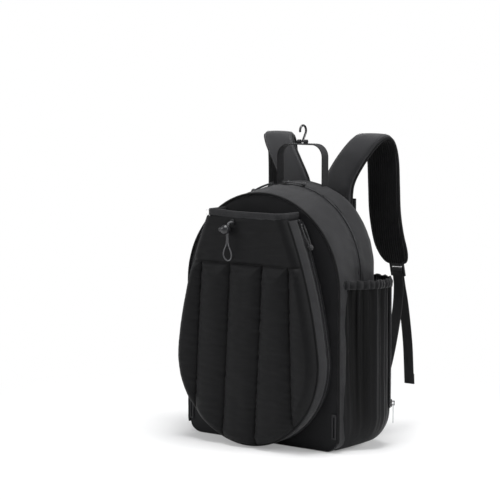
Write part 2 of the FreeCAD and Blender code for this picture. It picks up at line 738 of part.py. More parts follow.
def rounded_path(points):
    """Straight runs joined by tangent arcs, each arc as large as its two runs allow."""
    edges, start, radii = [], points[0], []
    for before, corner, after in zip(points, points[1:], points[2:]):
        back, ahead = before - corner, after - corner
        half_turn = (math.pi - back.getAngle(ahead)) / 2
        setback = 0.45 * min(back.Length, ahead.Length)
        radii.append(setback / math.tan(half_turn))
        back.normalize()
        ahead.normalize()
        first, last = corner + back * setback, corner + ahead * setback
        toward = (back + ahead).normalize()
        middle = corner + toward * (radii[-1] * (1 / math.cos(half_turn) - 1))
        edges += [Part.LineSegment(start, first).toShape(), Part.Arc(first, middle, last).toShape()]
        start = last
    edges.append(Part.LineSegment(start, points[-1]).toShape())
    return Part.Wire(edges), radii


def cord(name, points, radius):
    """Cord tube along a route of points."""
    path, radii = rounded_path(points)
    thick = value(radius)
    direction = points[1] - points[0]
    ring = Part.Wire([Part.Circle(points[0], direction, thick).toShape()])
    tube = doc.addObject("Part::Feature", name)
    tube.Shape = path.makePipeShell([ring], True, False)
    wanted = math.pi * thick ** 2 * path.Length
    print(f"{name}: length {path.Length:.1f}, least radius {min(radii):.1f}, "
          f"volume share {tube.Shape.Volume / wanted:.4f}")
    return keep(tube)


def knot(name, centre, along, radius, length):
    """Tied end of a puller: a turned bead about the cord's line."""
    body = new_body(name)
    section = new_sketch(body, f"{name}_section", "XZ_Plane")
    half, small = f"({length}) / 2", f"({radius}) * 0.55"
    polygon(section, ((0, f"-{half}"), (small, f"-{half}"), (radius, f"-{half} / 3"),
                      (radius, f"{half} / 3"), (small, half), (0, half)))
    turn = body.newObject("PartDesign::Revolution", f"{name}_turn")
    turn.Profile = section
    turn.ReferenceAxis = (section, ["V_Axis"])
    turn.Angle = 360
    body.Placement = FreeCAD.Placement(centre, FreeCAD.Rotation(Vector(0, 0, 1), along))
    return keep(body)


# A puller's cord leaves the slider's eye on one side, turns in its knot and comes back.
PULLER_ROUTE = ((0, 0.3, 0), (0, 3.2, 0), (4.5, 4.2, 0.1), (11, 4.6, -0.3), (20, 4.4, -1.2),
                (30, 3.4, -2.8), (38, 2.4, -4.6), (42.5, 2.3, -5.8))
KNOT_AT = 42


def puller(name, placement, droop):
    """Cord and knot of one puller; droop 1 follows the dome, less lets it stand off."""
    eye = Vector(0, 0, value(EYE))
    there = [Vector(across, side, up * droop) + eye for across, side, up in PULLER_ROUTE]
    back = [Vector(spot.x, -spot.y, spot.z) for spot in reversed(there)]
    cord(f"{name}_cord", [placement.multVec(spot) for spot in there + back], "Sizes.pull_cord")
    end, before = there[-1], there[-2]
    centre = placement.multVec(Vector(KNOT_AT, 0, (end.z + before.z) / 2))
    along = placement.Rotation.multVec(Vector(end.x - before.x, 0, end.z - before.z))
    knot(f"{name}_knot", centre, along, "Sizes.pull_cord * 3.6", "Sizes.pull_cord * 8")


def on_arc(centre_x, centre_z, radius, depth, angle, flip=False):
    """Slider's frame on an arc; the angle is from straight up, clockwise seen from the front."""
    lean = math.radians(angle)
    place = Vector(centre_x + radius * math.sin(lean), depth, centre_z + radius * math.cos(lean))
    turn = FreeCAD.Rotation(Vector(0, 1, 0), angle)
    if flip:
        turn = turn.multiply(FreeCAD.Rotation(Vector(0, 0, 1), 180))
    return FreeCAD.Placement(place, turn)


zip_centre, zip_radius, coil_y = value("Sizes.zip_centre"), value("Sizes.zip_radius"), value(COIL_Y)
left_spot = on_arc(0, zip_centre, zip_radius, coil_y, -value("Sizes.left_slider_angle"), True)
right_spot = on_arc(0, zip_centre, zip_radius, coil_y, -value("Sizes.right_slider_angle"))
side_spot = on_arc(-value(SIDE_X), value(SIDE_Z), value("Sizes.side_radius"), value(POCKET_COIL_Y),
                   90 - value("Sizes.pocket_slider_angle"))
for label, spot, droop in (
    ("main_left", left_spot, 1), ("main_right", right_spot, 1), ("racket", side_spot, -0.3)
):
    keep(slider(f"{label}_slider", spot))
    puller(f"{label}_puller", spot, droop)

# Bottle-pocket slider and its metal tab, at the foot of the slit.
turn = math.radians(value("Sizes.slit_angle"))
outward = Vector(math.cos(turn), math.sin(turn), 0)
down = Vector(0, 0, -1)
slit_spot = FreeCAD.Placement(
    Vector(value(BOTTLE_X), value("Sizes.bottle_centre_y"), 0)
    + outward * value("Sizes.bottle_radius")
    + Vector(0, 0, value("Sizes.slit_foot + Sizes.slider_length / 2 + 2")),
    FreeCAD.Rotation(down, outward.cross(down), outward))
bottle_slider = keep(slider("bottle_slider_right", slit_spot))
mirrored(bottle_slider, "bottle_slider_left")
tab = new_body("bottle_tab_right")
half_tab, low_tab = "Sizes.tab_width / 2", f"{EYE} - Sizes.tab_thickness / 2"
tab_outline = new_sketch(tab, "tab_outline", "XY_Plane", low_tab)
rectangle(tab_outline, -1, "Sizes.tab_length", f"-{half_tab}", half_tab)
pad(tab, tab_outline, "Sizes.tab_thickness")
window = new_sketch(tab, "tab_window", "XY_Plane", f"{low_tab} + Sizes.tab_thickness")
rectangle(window, 1, 6.4, f"-({half_tab} - 1.6)", f"{half_tab} - 1.6")
pocket(tab, window, "Sizes.tab_thickness")
long_window = new_sketch(tab, "tab_slot", "XY_Plane", f"{low_tab} + Sizes.tab_thickness")
rectangle(long_window, 10, "Sizes.tab_length - 3", f"-({half_tab} - 2)", f"{half_tab} - 2")
pocket(tab, long_window, "Sizes.tab_thickness")
tab.Placement = slit_spot
keep(tab)
mirrored(tab, "bottle_tab_left")


# ---------------------------------------------------------------- straps and webbing
def ribbon(name, stations, width, low, high):
    """Flat band through stations (x, y, z); its width lies along X and its thickness faces out."""
    body = new_body(name)
    spots = [Vector(*(value(part) for part in station)) for station in stations]
    sections = []
    for index, station in enumerate(stations):
        before, after = spots[max(index - 1, 0)], spots[min(index + 1, len(spots) - 1)]
        lean = math.degrees(math.atan2(before.y - after.y, after.z - before.z))
        sketch = new_sketch(body, f"{name}_{index}", "XY_Plane")
        tilt = FreeCAD.Rotation(Vector(1, 0, 0), lean)
        sketch.AttachmentOffset = FreeCAD.Placement(spots[index], tilt)
        bind(sketch, AttachmentOffset__Base__x=station[0], AttachmentOffset__Base__y=station[1],
             AttachmentOffset__Base__z=station[2])
        rectangle(sketch, f"-({width}) / 2", f"({width}) / 2", low, high)
        sections.append(sketch)
    loft(body, "AdditiveLoft", sections)
    return body


def behind(across, out, down):
    """Station behind the back panel's face and below the top of the back."""
    return across, f"{BACK} + {out}", f"{TOP} - {down}"


def above(across, out, height):
    """Station behind the back panel's face and above the base."""
    return across, f"{BACK} + {out}", height


# From the yoke up over the shoulder fold and down to the ladder lock.
STRAP = (behind(44, 6.3, 66), behind(44, 6.3, 27), behind(50, 6.5, 2), behind(68, 9, -29),
         behind(86, 15, -55), behind(98, 25, -71), behind(104, 38, -72), behind(107, 49, -58),
         behind(109, 55, -30), behind(110, 57, 15), behind(112, 58, 62), behind(117, 64, 108),
         behind(125, 76, 150))
HALF_STRAP = "(Sizes.strap_foam + Sizes.strap_mesh) / 2"
MIDDLE = f"(Sizes.strap_foam - {HALF_STRAP})"
strap = keep(ribbon("shoulder_strap_right", STRAP, "Sizes.strap_width", f"-{HALF_STRAP}", MIDDLE))
lining = keep(ribbon("strap_mesh_right", STRAP, "Sizes.strap_width", MIDDLE, HALF_STRAP))
mirrored(strap, "shoulder_strap_left")
mirrored(lining, "strap_mesh_left")


def plate(name, low, high):
    """Flat rectangular piece between two corners."""
    body = new_body(name)
    sketch = new_sketch(body, f"{name}_outline", "XY_Plane", low[2])
    rectangle(sketch, low[0], high[0], low[1], high[1])
    pad(body, sketch, f"({high[2]}) - ({low[2]})")
    return body


# Cover sewn over the upper ends of both straps.
keep(plate("strap_yoke",
           ("-Sizes.yoke_half", f"{BACK} + Sizes.strap_foam + Sizes.strap_mesh + 2 * Sizes.soft_gap",
            f"{TOP} - Sizes.yoke_drop"),
           ("Sizes.yoke_half",
            f"{BACK} + Sizes.strap_foam + Sizes.strap_mesh + 2 * Sizes.soft_gap + Sizes.yoke",
            f"{TOP} - Sizes.yoke_drop + Sizes.yoke_height")))

# Anchor wings at the base corners, where the lower webbing starts.
wing = new_body("anchor_wing")
wing_outline = new_sketch(wing, "anchor_wing_outline", "XZ_Plane", "-(Sizes.body_depth + Sizes.seam_gap)")
WING_LOW = "(Sizes.back_radius - Sizes.back_pad_inset + 2)"
WING_HIGH = "(Sizes.back_radius - 2)"
polygon(wing_outline, ((WING_LOW, "Sizes.wing_foot"), (WING_HIGH, "Sizes.wing_foot"),
                       (WING_HIGH, "Sizes.wing_outer"), (WING_LOW, "Sizes.wing_inner")))
pad(wing, wing_outline, "Sizes.wing", reverse=True)
pair(wing, "anchor_wings")

# Ladder lock at the strap's end, in a frame whose Y runs down the strap.
strap_end = Vector(*(value(part) for part in STRAP[-1]))
strap_before = Vector(*(value(part) for part in STRAP[-2]))
lock_lean = math.atan2(strap_end.y - strap_before.y, strap_before.z - strap_end.z)
along_strap = Vector(0, math.sin(lock_lean), -math.cos(lock_lean))
out_of_strap = Vector(0, math.cos(lock_lean), math.sin(lock_lean))
LOCK_DROP = 1.5
lock_frame = FreeCAD.Placement(
    strap_end + along_strap * LOCK_DROP - out_of_strap * (value("Sizes.lock_thickness") / 2),
    FreeCAD.Rotation(along_strap.cross(out_of_strap), along_strap, out_of_strap))
lock = new_body("ladder_lock_right")
BAR_LOW = "(Sizes.lock_height / 2 - Sizes.lock_bar / 2)"
SLOT = "(Sizes.web_width / 2 + 0.8)"
lock_outline = new_sketch(lock, "lock_outline", "XY_Plane")
rectangle(lock_outline, "-Sizes.lock_width / 2", "Sizes.lock_width / 2", 0, "Sizes.lock_height")
pad(lock, lock_outline, "Sizes.lock_thickness")
for label, low, high in (
    ("upper_slot", "Sizes.lock_bar", BAR_LOW),
    ("lower_slot", f"{BAR_LOW} + Sizes.lock_bar", "Sizes.lock_height - Sizes.lock_bar"),
):
    opening = new_sketch(lock, label, "XY_Plane", "Sizes.lock_thickness")
    rectangle(opening, f"-{SLOT}", SLOT, low, high)
    pocket(lock, opening, "Sizes.lock_thickness")
lock.Placement = lock_frame
keep(lock)
mirrored(lock, "ladder_lock_left")


def lock_band(name, corners):
    """Folded piece of webbing in the lock's frame, drawn as (down, out) corners."""
    body = new_body(name)
    pad(body, polygon(new_sketch(body, f"{name}_fold", "YZ_Plane"), corners),
        "Sizes.web_width").Midplane = True
    body.Placement = lock_frame
    return body


NEAR, CLEAR = "(Sizes.lock_thickness + Sizes.soft_gap)", "Sizes.soft_gap"
LOOP_LOW = f"(Sizes.lock_bar + {CLEAR})"
STRAP_LOW = f"(-{LOCK_DROP} + Sizes.seam_gap)"
pair(lock_band("lock_loop", (
    (STRAP_LOW, f"{NEAR} + Sizes.web"), (f"{LOOP_LOW} + Sizes.web", f"{NEAR} + Sizes.web"),
    (f"{LOOP_LOW} + Sizes.web", f"-{CLEAR} - Sizes.web"), (STRAP_LOW, f"-{CLEAR} - Sizes.web"),
    (STRAP_LOW, f"-{CLEAR}"), (LOOP_LOW, f"-{CLEAR}"), (LOOP_LOW, NEAR), (STRAP_LOW, NEAR),
)), "lock_loops")
TURN_TOP, TURN_FOOT = f"({BAR_LOW} - {CLEAR})", f"({BAR_LOW} + Sizes.lock_bar)"
LOCK_FOOT = "(Sizes.lock_height + 1)"
pair(lock_band("web_turn", (
    (TURN_FOOT, f"-{CLEAR} - Sizes.web"), (f"{TURN_TOP} - Sizes.web", f"-{CLEAR} - Sizes.web"),
    (f"{TURN_TOP} - Sizes.web", f"{NEAR} + Sizes.web"), (LOCK_FOOT, f"{NEAR} + Sizes.web"),
    (LOCK_FOOT, NEAR), (TURN_TOP, NEAR), (TURN_TOP, f"-{CLEAR}"), (TURN_FOOT, f"-{CLEAR}"),
)), "web_turns")


def in_lock(down, out):
    """Station at a place in the lock's frame."""
    return tuple(lock_frame.multVec(Vector(0, down, out)))


half_web = value("Sizes.web") / 2
inner_side = -value(CLEAR) - half_web
outer_side = value(NEAR) + half_web
LOWER_WEB = (
    in_lock(value(TURN_FOOT), inner_side), in_lock(value(LOCK_FOOT) + 2, inner_side),
    behind(126, 82, 196), behind(127, 77, 231), behind(129, 60, 281), above(130, 40, 122),
    above(130, 18, 86), above(130, 2, 62), above(130, -5.6, 46), above(130, -6, 26),
)
lower_web = keep(ribbon("lower_web_right", LOWER_WEB, "Sizes.web_width",
                        "-Sizes.web / 2", "Sizes.web / 2"))
mirrored(lower_web, "lower_web_left")
TAIL = (
    in_lock(value(LOCK_FOOT) + value("Sizes.soft_gap"), outer_side), behind(125.5, 90.5, 194),
    behind(127, 97, 222), behind(129, 103, 262), behind(131, 107, 302), behind(132, 109, 340),
    behind(133, 110, 373),
)
tail = keep(ribbon("web_tail_right", TAIL, "Sizes.web_width", "-Sizes.web / 2", "Sizes.web / 2"))
mirrored(tail, "web_tail_left")


# ---------------------------------------------------------------- grab handle and fence hook
HANDLE_Y = "(Sizes.body_depth - Sizes.handle_set_in)"
handle_radius, handle_centre = rear_outline(HANDLE_Y)
HANDLE_FOOT = (f"({handle_centre} + sqrt(pow({handle_radius}; 2) - pow(Sizes.handle_half; 2))"
               " + Sizes.soft_gap)")
handle = new_body("grab_handle")
handle_path = new_sketch(handle, "handle_path", "XZ_Plane", f"-{HANDLE_Y}")
half_span, crown_z, low_z = (value("Sizes.handle_half"), value("Sizes.handle_top"), value(HANDLE_FOOT))
bend = value("Sizes.handle_corner")
upward = Vector(0, 0, 1)
corner_z = crown_z - bend
for sign, start, end in ((1, 0, 90), (-1, 90, 180)):
    circle = Part.Circle(Vector(sign * (half_span - bend), corner_z, 0), upward, bend)
    handle_path.addGeometry(Part.ArcOfCircle(circle, math.radians(start), math.radians(end)), False)
for start, end in (((half_span, low_z), (half_span, corner_z)),
                   ((half_span - bend, crown_z), (bend - half_span, crown_z)),
                   ((-half_span, corner_z), (-half_span, low_z))):
    handle_path.addGeometry(Part.LineSegment(Vector(*start, 0), Vector(*end, 0)), False)
for first, first_end, last, last_end in ((2, 2, 0, 1), (0, 2, 3, 1), (3, 2, 1, 1), (1, 2, 4, 1)):
    constrain(handle_path, "Tangent", first, first_end, last, last_end)
constrain(handle_path, "Vertical", 2)
constrain(handle_path, "Horizontal", 3)
constrain(handle_path, "Vertical", 4)
dimension(handle_path, "Radius", (0,), "Sizes.handle_corner")
dimension(handle_path, "Radius", (1,), "Sizes.handle_corner")
dimension(handle_path, "DistanceX", (-1, 1, 2, 1), "Sizes.handle_half")
dimension(handle_path, "DistanceX", (4, 2, -1, 1), "Sizes.handle_half")
dimension(handle_path, "DistanceY", (-1, 1, 2, 1), HANDLE_FOOT)
dimension(handle_path, "DistanceY", (-1, 1, 4, 2), HANDLE_FOOT)
dimension(handle_path, "DistanceY", (-1, 1, 3, 1), "Sizes.handle_top")
band = new_sketch(handle, "handle_section", "XY_Plane", HANDLE_FOOT)
rectangle(band, "Sizes.handle_half - Sizes.handle_web / 2", "Sizes.handle_half + Sizes.handle_web / 2",
          f"{HANDLE_Y} - Sizes.web_width / 2", f"{HANDLE_Y} + Sizes.web_width / 2")
pipe = handle.newObject("PartDesign::AdditivePipe", "handle_pipe")
pipe.Profile = band
pipe.Spine = (handle_path, [f"Edge{number}" for number in range(1, 6)])
keep(handle)

# Two sewn ears on top of the handle carry the hook's crossbar.
EAR_RADIUS = "(Sizes.hook_wire + Sizes.hook_fit + Sizes.ear_wall)"
BAR_Z = f"(Sizes.handle_top + Sizes.handle_web / 2 + {EAR_RADIUS})"
ear = new_body("hook_ear")
ear_ring = new_sketch(ear, "ear_ring", "YZ_Plane", "Sizes.ear_gap / 2")
disc(ear_ring, HANDLE_Y, BAR_Z, EAR_RADIUS)
disc(ear_ring, HANDLE_Y, BAR_Z, "Sizes.hook_wire + Sizes.hook_fit")
pad(ear, ear_ring, "Sizes.ear_length")
pair(ear, "hook_ears")

hook = new_body("fence_hook")
crossbar = new_sketch(hook, "crossbar", "YZ_Plane")
disc(crossbar, HANDLE_Y, BAR_Z, "Sizes.hook_wire")
pad(hook, crossbar, "Sizes.hook_bar").Midplane = True
bar_y, bar_z = value(HANDLE_Y), value(BAR_Z)
lean = math.radians(value("Sizes.hook_lean"))
shank, bend = value("Sizes.hook_shank"), value("Sizes.hook_bend")
top_y, top_z = bar_y + shank * math.sin(lean), bar_z + shank * math.cos(lean)
bend_y, bend_z = top_y - bend * math.cos(lean), top_z + bend * math.sin(lean)
TIP_ANGLE = 195
wire = new_sketch(hook, "hook_wire", "YZ_Plane")
wire.addGeometry(Part.LineSegment(Vector(bar_y, bar_z, 0), Vector(top_y, top_z, 0)), False)
circle = Part.Circle(Vector(bend_y, bend_z, 0), upward, bend)
wire.addGeometry(Part.ArcOfCircle(circle, -lean, math.radians(TIP_ANGLE)), False)
constrain(wire, "Tangent", 0, 2, 1, 1)
dimension(wire, "DistanceX", (-1, 1, 0, 1), HANDLE_Y)
dimension(wire, "DistanceY", (-1, 1, 0, 1), BAR_Z)
dimension(wire, "DistanceX", (0, 1, 0, 2), "Sizes.hook_shank * sin(Sizes.hook_lean)")
dimension(wire, "DistanceY", (0, 1, 0, 2), "Sizes.hook_shank * cos(Sizes.hook_lean)")
dimension(wire, "Radius", (1,), "Sizes.hook_bend")
dimension(wire, "DistanceY", (1, 3, 1, 2), f"Sizes.hook_bend * sin({TIP_ANGLE})")
round_section = new_sketch(hook, "hook_section", "XY_Plane")
round_section.AttachmentOffset = FreeCAD.Placement(
    Vector(0, bar_y, bar_z), FreeCAD.Rotation(Vector(1, 0, 0), -math.degrees(lean)))
bind(round_section, AttachmentOffset__Base__y=HANDLE_Y, AttachmentOffset__Base__z=BAR_Z)
disc(round_section, 0, 0, "Sizes.hook_wire")
bent = hook.newObject("PartDesign::AdditivePipe", "hook_pipe")
bent.Profile = round_section
bent.Spine = (wire, ["Edge1", "Edge2"])
keep(hook)


# ---------------------------------------------------------------- drawcord, loops and eyelet
eyelet = new_body("drawcord_eyelet")
washer = new_sketch(eyelet, "eyelet_ring", "XZ_Plane", f"-{racket_face}")
disc(washer, "Sizes.eyelet_x", "Sizes.eyelet_z", "Sizes.eyelet_radius")
disc(washer, "Sizes.eyelet_x", "Sizes.eyelet_z", "Sizes.eyelet_hole")
pad(eyelet, washer, "Sizes.washer")
keep(eyelet)

TOGGLE = ("(Sizes.eyelet_x + Sizes.toggle_x)",
          f"({racket_face} - Sizes.washer - Sizes.toggle_radius - Sizes.soft_gap)",
          "(Sizes.eyelet_z - Sizes.toggle_drop)")


def placed(thing, centre, rotation=None):
    """Bind a primitive's place to the sheet."""
    if rotation:
        thing.Placement = FreeCAD.Placement(Vector(), rotation)
    return bind(thing, Placement__Base__x=centre[0], Placement__Base__y=centre[1],
                Placement__Base__z=centre[2])


def rod(name, centre, radius, length, rotation=None):
    return placed(bind(doc.addObject("Part::Cylinder", name), Radius=radius, Height=length),
                  centre, rotation)


TO_LEFT = FreeCAD.Rotation(Vector(0, 1, 0), -90)
ball = placed(bind(doc.addObject("Part::Sphere", "toggle_ball"), Radius="Sizes.toggle_radius"), TOGGLE)
BORE_START = (f"{TOGGLE[0]} - 0.3", TOGGLE[1], TOGGLE[2])
bore = rod("toggle_bore", BORE_START, "Sizes.button_radius + Sizes.button_fit",
           "Sizes.toggle_radius * 2", TO_LEFT)
passage = rod("toggle_passage",
              (f"{TOGGLE[0]} + Sizes.toggle_radius / 2", TOGGLE[1], f"{TOGGLE[2]} - Sizes.toggle_radius"),
              "Sizes.toggle_hole", "Sizes.toggle_radius * 2")
keep(combine("Cut", "cord_toggle", combine("Cut", "toggle_bored", ball, bore), passage))
BUTTON_FACE = "(Sizes.toggle_radius + Sizes.button_travel)"
button_start = (f"{TOGGLE[0]} - ({BUTTON_FACE} - Sizes.button_length)", TOGGLE[1], TOGGLE[2])
plug = rod("button_plug", button_start, "Sizes.button_radius", "Sizes.button_length", TO_LEFT)
well = rod("button_well", button_start, "Sizes.button_radius * 0.65", "Sizes.button_well", TO_LEFT)
keep(combine("Cut", "toggle_button", plug, well))
SPRING_PLACE = (f"{TOGGLE[0]} - 0.4", TOGGLE[1], TOGGLE[2])
spring_outer = rod("spring_outer", SPRING_PLACE, "Sizes.button_radius * 0.58",
                   "Sizes.spring_length", TO_LEFT)
spring_inner = rod("spring_inner", SPRING_PLACE, "Sizes.button_radius * 0.4",
                   "Sizes.spring_length", TO_LEFT)
keep(combine("Cut", "toggle_spring", spring_outer, spring_inner))

# The elastic leaves the eyelet, runs down through the toggle and hangs in a loop.
PASSAGE_X = value(f"{TOGGLE[0]} + Sizes.toggle_radius / 2")
FACE_Y, TOGGLE_Y, EYE_Z = value(racket_face), value(TOGGLE[1]), value("Sizes.eyelet_z")
LOOP_SIDE = ((-1.1, TOGGLE_Y, EYE_Z - 7), (-1.1, TOGGLE_Y, EYE_Z - 32))
cord("drawcord", [Vector(*spot) for spot in (
    (-22.1, FACE_Y - 0.3, EYE_Z), (-22.4, FACE_Y - 4.2, EYE_Z + 0.4),
    (-24.2, TOGGLE_Y + 1.4, EYE_Z - 1.6),
    (PASSAGE_X - 1.15, TOGGLE_Y, EYE_Z - 7), (PASSAGE_X - 1.15, TOGGLE_Y, EYE_Z - 32),
    (-27.4, TOGGLE_Y + 0.3, 346.5), (-32.5, TOGGLE_Y + 1.3, 339), (-35.8, TOGGLE_Y + 2.6, 330.5),
    (-33.4, TOGGLE_Y + 4, 322.5), (-27, TOGGLE_Y + 4.6, 319), (-20.4, TOGGLE_Y + 4, 322.5),
    (-17.6, TOGGLE_Y + 2.6, 330.5), (-19.6, TOGGLE_Y + 1.3, 339), (-22.6, TOGGLE_Y + 0.3, 346.5),
    (PASSAGE_X + 1.15, TOGGLE_Y, EYE_Z - 32), (PASSAGE_X + 1.15, TOGGLE_Y, EYE_Z - 7),
    (-22.2, TOGGLE_Y + 1.6, EYE_Z - 1.6), (-20, FACE_Y - 4.2, EYE_Z + 0.4),
    (-19.9, FACE_Y - 0.3, EYE_Z),
)], "Sizes.cord")

# Small elastic loops sewn to the rims of the bottle pockets, behind the zips.
RING_ANGLE = "(Sizes.slit_angle + 14)"
RING_REACH = "(Sizes.bottle_radius + Sizes.ring_cord + Sizes.soft_gap)"
ring = doc.addObject("Part::Torus", "rim_ring")
bind(ring, Radius1="Sizes.ring_radius", Radius2="Sizes.ring_cord")
turn = value(RING_ANGLE)
ring.Placement = FreeCAD.Placement(Vector(), FreeCAD.Rotation(
    Vector(-math.sin(math.radians(turn)), math.cos(math.radians(turn)), 0), Vector(0, 0, 1),
    Vector(math.cos(math.radians(turn)), math.sin(math.radians(turn)), 0)))
bind(ring, Placement__Base__x=f"{BOTTLE_X} + {RING_REACH} * cos({RING_ANGLE})",
     Placement__Base__y=f"Sizes.bottle_centre_y + {RING_REACH} * sin({RING_ANGLE})",
     Placement__Base__z=f"{RIM} + 4")
pair(ring, "rim_loops")

# Narrow pull loops sewn into the front seam near the base.
seam_loop = new_body("seam_loop")
loop_outline = new_sketch(seam_loop, "seam_loop_outline", "XZ_Plane", "Sizes.soft_gap")
PULL_OUT = "(Sizes.front_radius - Sizes.piping_radius - 1)"
PULL_IN = f"({PULL_OUT} - Sizes.pull_width)"
PULL_TOP = "(Sizes.pull_foot + Sizes.pull_height)"
rectangle(loop_outline, PULL_IN, PULL_OUT, "Sizes.pull_foot", PULL_TOP)
pad(seam_loop, loop_outline, "Sizes.web")
loop_hole = new_sketch(seam_loop, "seam_loop_hole", "XZ_Plane", "Sizes.soft_gap + Sizes.web")
rectangle(loop_hole, f"{PULL_IN} + Sizes.pull_edge", f"{PULL_OUT} - Sizes.pull_edge",
          "Sizes.pull_foot + Sizes.pull_edge", f"{PULL_TOP} - Sizes.pull_fold")
pocket(seam_loop, loop_hole, "Sizes.web")
pair(seam_loop, "seam_pull_loops")


# ---------------------------------------------------------------- checks and files
doc.recompute()
for thing in doc.Objects:
    if {"Invalid", "Error"} & set(thing.State):
        raise SystemExit(f"{thing.Name} did not build: {thing.State}")
for thing in kept:
    if thing.Shape.isNull() or not thing.Shape.isValid():
        raise SystemExit(f"{thing.Label} has no valid shape")
os.makedirs("parts", exist_ok=True)
for thing in kept:
    thing.Shape.exportStep(f"parts/{thing.Label}.step")
print(len(kept), "sub-parts")
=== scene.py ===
import math

import bpy
import numpy as np
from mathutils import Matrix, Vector, noise


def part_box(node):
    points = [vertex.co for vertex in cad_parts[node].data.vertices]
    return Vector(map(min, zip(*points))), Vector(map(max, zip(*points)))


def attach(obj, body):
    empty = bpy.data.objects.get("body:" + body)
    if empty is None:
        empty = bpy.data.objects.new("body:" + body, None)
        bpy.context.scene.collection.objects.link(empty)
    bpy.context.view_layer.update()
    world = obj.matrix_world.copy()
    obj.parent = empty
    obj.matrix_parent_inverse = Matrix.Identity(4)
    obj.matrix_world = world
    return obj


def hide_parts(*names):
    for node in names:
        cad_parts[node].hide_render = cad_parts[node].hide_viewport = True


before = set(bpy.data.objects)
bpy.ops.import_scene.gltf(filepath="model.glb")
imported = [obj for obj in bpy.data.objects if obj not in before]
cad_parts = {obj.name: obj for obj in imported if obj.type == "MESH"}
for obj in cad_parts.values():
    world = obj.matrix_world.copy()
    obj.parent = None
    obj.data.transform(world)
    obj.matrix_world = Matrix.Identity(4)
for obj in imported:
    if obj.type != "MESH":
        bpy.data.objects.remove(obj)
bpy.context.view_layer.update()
scene = bpy.context.scene
scene.view_settings.view_transform = "Standard"

# ------------------------------------------------------------------ studio and camera
# The pack stands on a plain pale floor under one broad soft lamp and an even sky.
# The lens is long, so upright edges stay nearly parallel.
VIEW_FROM = Vector((1.7717, -2.3828, 0.6469))
VIEW_AT = Vector((-0.02388, 0, 0.33332))
camera_data = bpy.data.cameras.new("studio_camera")
camera_data.lens = 125.36
camera_data.sensor_width = 36
camera_data.clip_end = 50
camera = bpy.data.objects.new("studio_camera", camera_data)
camera.location = VIEW_FROM
camera.rotation_euler = (VIEW_AT - VIEW_FROM).to_track_quat("-Z", "Y").to_euler()
scene.collection.objects.link(camera)
scene.camera = camera


def soft_lamp(name, place, size, watts):
    """Square lamp aimed at the middle of the pack."""
    data = bpy.data.lights.new(name, "AREA")
    data.size = size
    data.energy = watts
    lamp = bpy.data.objects.new(name, data)
    lamp.location = place
    lamp.rotation_euler = (Vector((0, 0, 0.25)) - Vector(place)).to_track_quat("-Z",
                                                                               "Y").to_euler()
    scene.collection.objects.link(lamp)


soft_lamp("overhead_lamp", (0.2, -0.1, 2.4), 1.1, 52)
soft_lamp("side_lamp", (2.2, 0.5, 1.5), 0.9, 24)
soft_lamp("front_lamp", (-2.2, -1.6, 1.5), 0.9, 22)
sky = bpy.data.worlds.new("studio_sky")
sky.use_nodes = True
sky_nodes, sky_links = sky.node_tree.nodes, sky.node_tree.links
backdrop = sky_nodes["Background"]
backdrop.inputs["Color"].default_value = (0.72, 0.73, 0.75, 1)
backdrop.inputs["Strength"].default_value = 0.5
seen_white = sky_nodes.new("ShaderNodeBackground")
seen_white.inputs["Color"].default_value = (1, 1, 1, 1)
rays = sky_nodes.new("ShaderNodeLightPath")
sky_mix = sky_nodes.new("ShaderNodeMixShader")
sky_links.new(rays.outputs["Is Camera Ray"], sky_mix.inputs[0])
sky_links.new(backdrop.outputs[0], sky_mix.inputs[1])
sky_links.new(seen_white.outputs[0], sky_mix.inputs[2])
sky_links.new(sky_mix.outputs[0], sky_nodes["World Output"].inputs["Surface"])
scene.world = sky
FLOOR_REACH = 9
floor_mesh = bpy.data.meshes.new("studio_floor")
floor_mesh.from_pydata([(-FLOOR_REACH, -FLOOR_REACH, 0), (FLOOR_REACH, -FLOOR_REACH, 0),
                        (FLOOR_REACH, FLOOR_REACH, 0), (-FLOOR_REACH, FLOOR_REACH, 0)],
                       [], [(0, 1, 2, 3)])
floor = bpy.data.objects.new("studio_floor", floor_mesh)
scene.collection.objects.link(floor)
floor_paint = bpy.data.materials.new("studio_floor_paint")
floor_paint.use_nodes = True
floor_nodes, floor_links = floor_paint.node_tree.nodes, floor_paint.node_tree.links
floor_nodes["Principled BSDF"].inputs["Base Color"].default_value = (0.88, 0.88, 0.88, 1)
floor_nodes["Principled BSDF"].inputs["Roughness"].default_value = 0.7
floor_nodes["Principled BSDF"].inputs["Specular IOR Level"].default_value = 0.15
floor_where = floor_nodes.new("ShaderNodeTexCoord")
floor_reach = floor_nodes.new("ShaderNodeVectorMath")
floor_reach.operation = "LENGTH"
floor_links.new(floor_where.outputs["Object"], floor_reach.inputs[0])
floor_fade = floor_nodes.new("ShaderNodeMapRange")
floor_fade.interpolation_type = "SMOOTHSTEP"
floor_fade.inputs["From Min"].default_value = 0.28
floor_fade.inputs["From Max"].default_value = 0.75
floor_fade.inputs["To Min"].default_value = 0.25
floor_links.new(floor_reach.outputs["Value"], floor_fade.inputs["Value"])
floor_rays = floor_nodes.new("ShaderNodeLightPath")
floor_white = floor_nodes.new("ShaderNodeMath")
floor_white.operation = "MULTIPLY"
floor_links.new(floor_fade.outputs["Result"], floor_white.inputs[0])
floor_links.new(floor_rays.outputs["Is Camera Ray"], floor_white.inputs[1])
floor_glow = floor_nodes.new("ShaderNodeEmission")
floor_mix = floor_nodes.new("ShaderNodeMixShader")
floor_links.new(floor_white.outputs[0], floor_mix.inputs[0])
floor_links.new(floor_nodes["Principled BSDF"].outputs[0], floor_mix.inputs[1])
floor_links.new(floor_glow.outputs[0], floor_mix.inputs[2])
floor_links.new(floor_mix.outputs[0], floor_nodes["Material Output"].inputs["Surface"])
floor_mesh.materials.append(floor_paint)


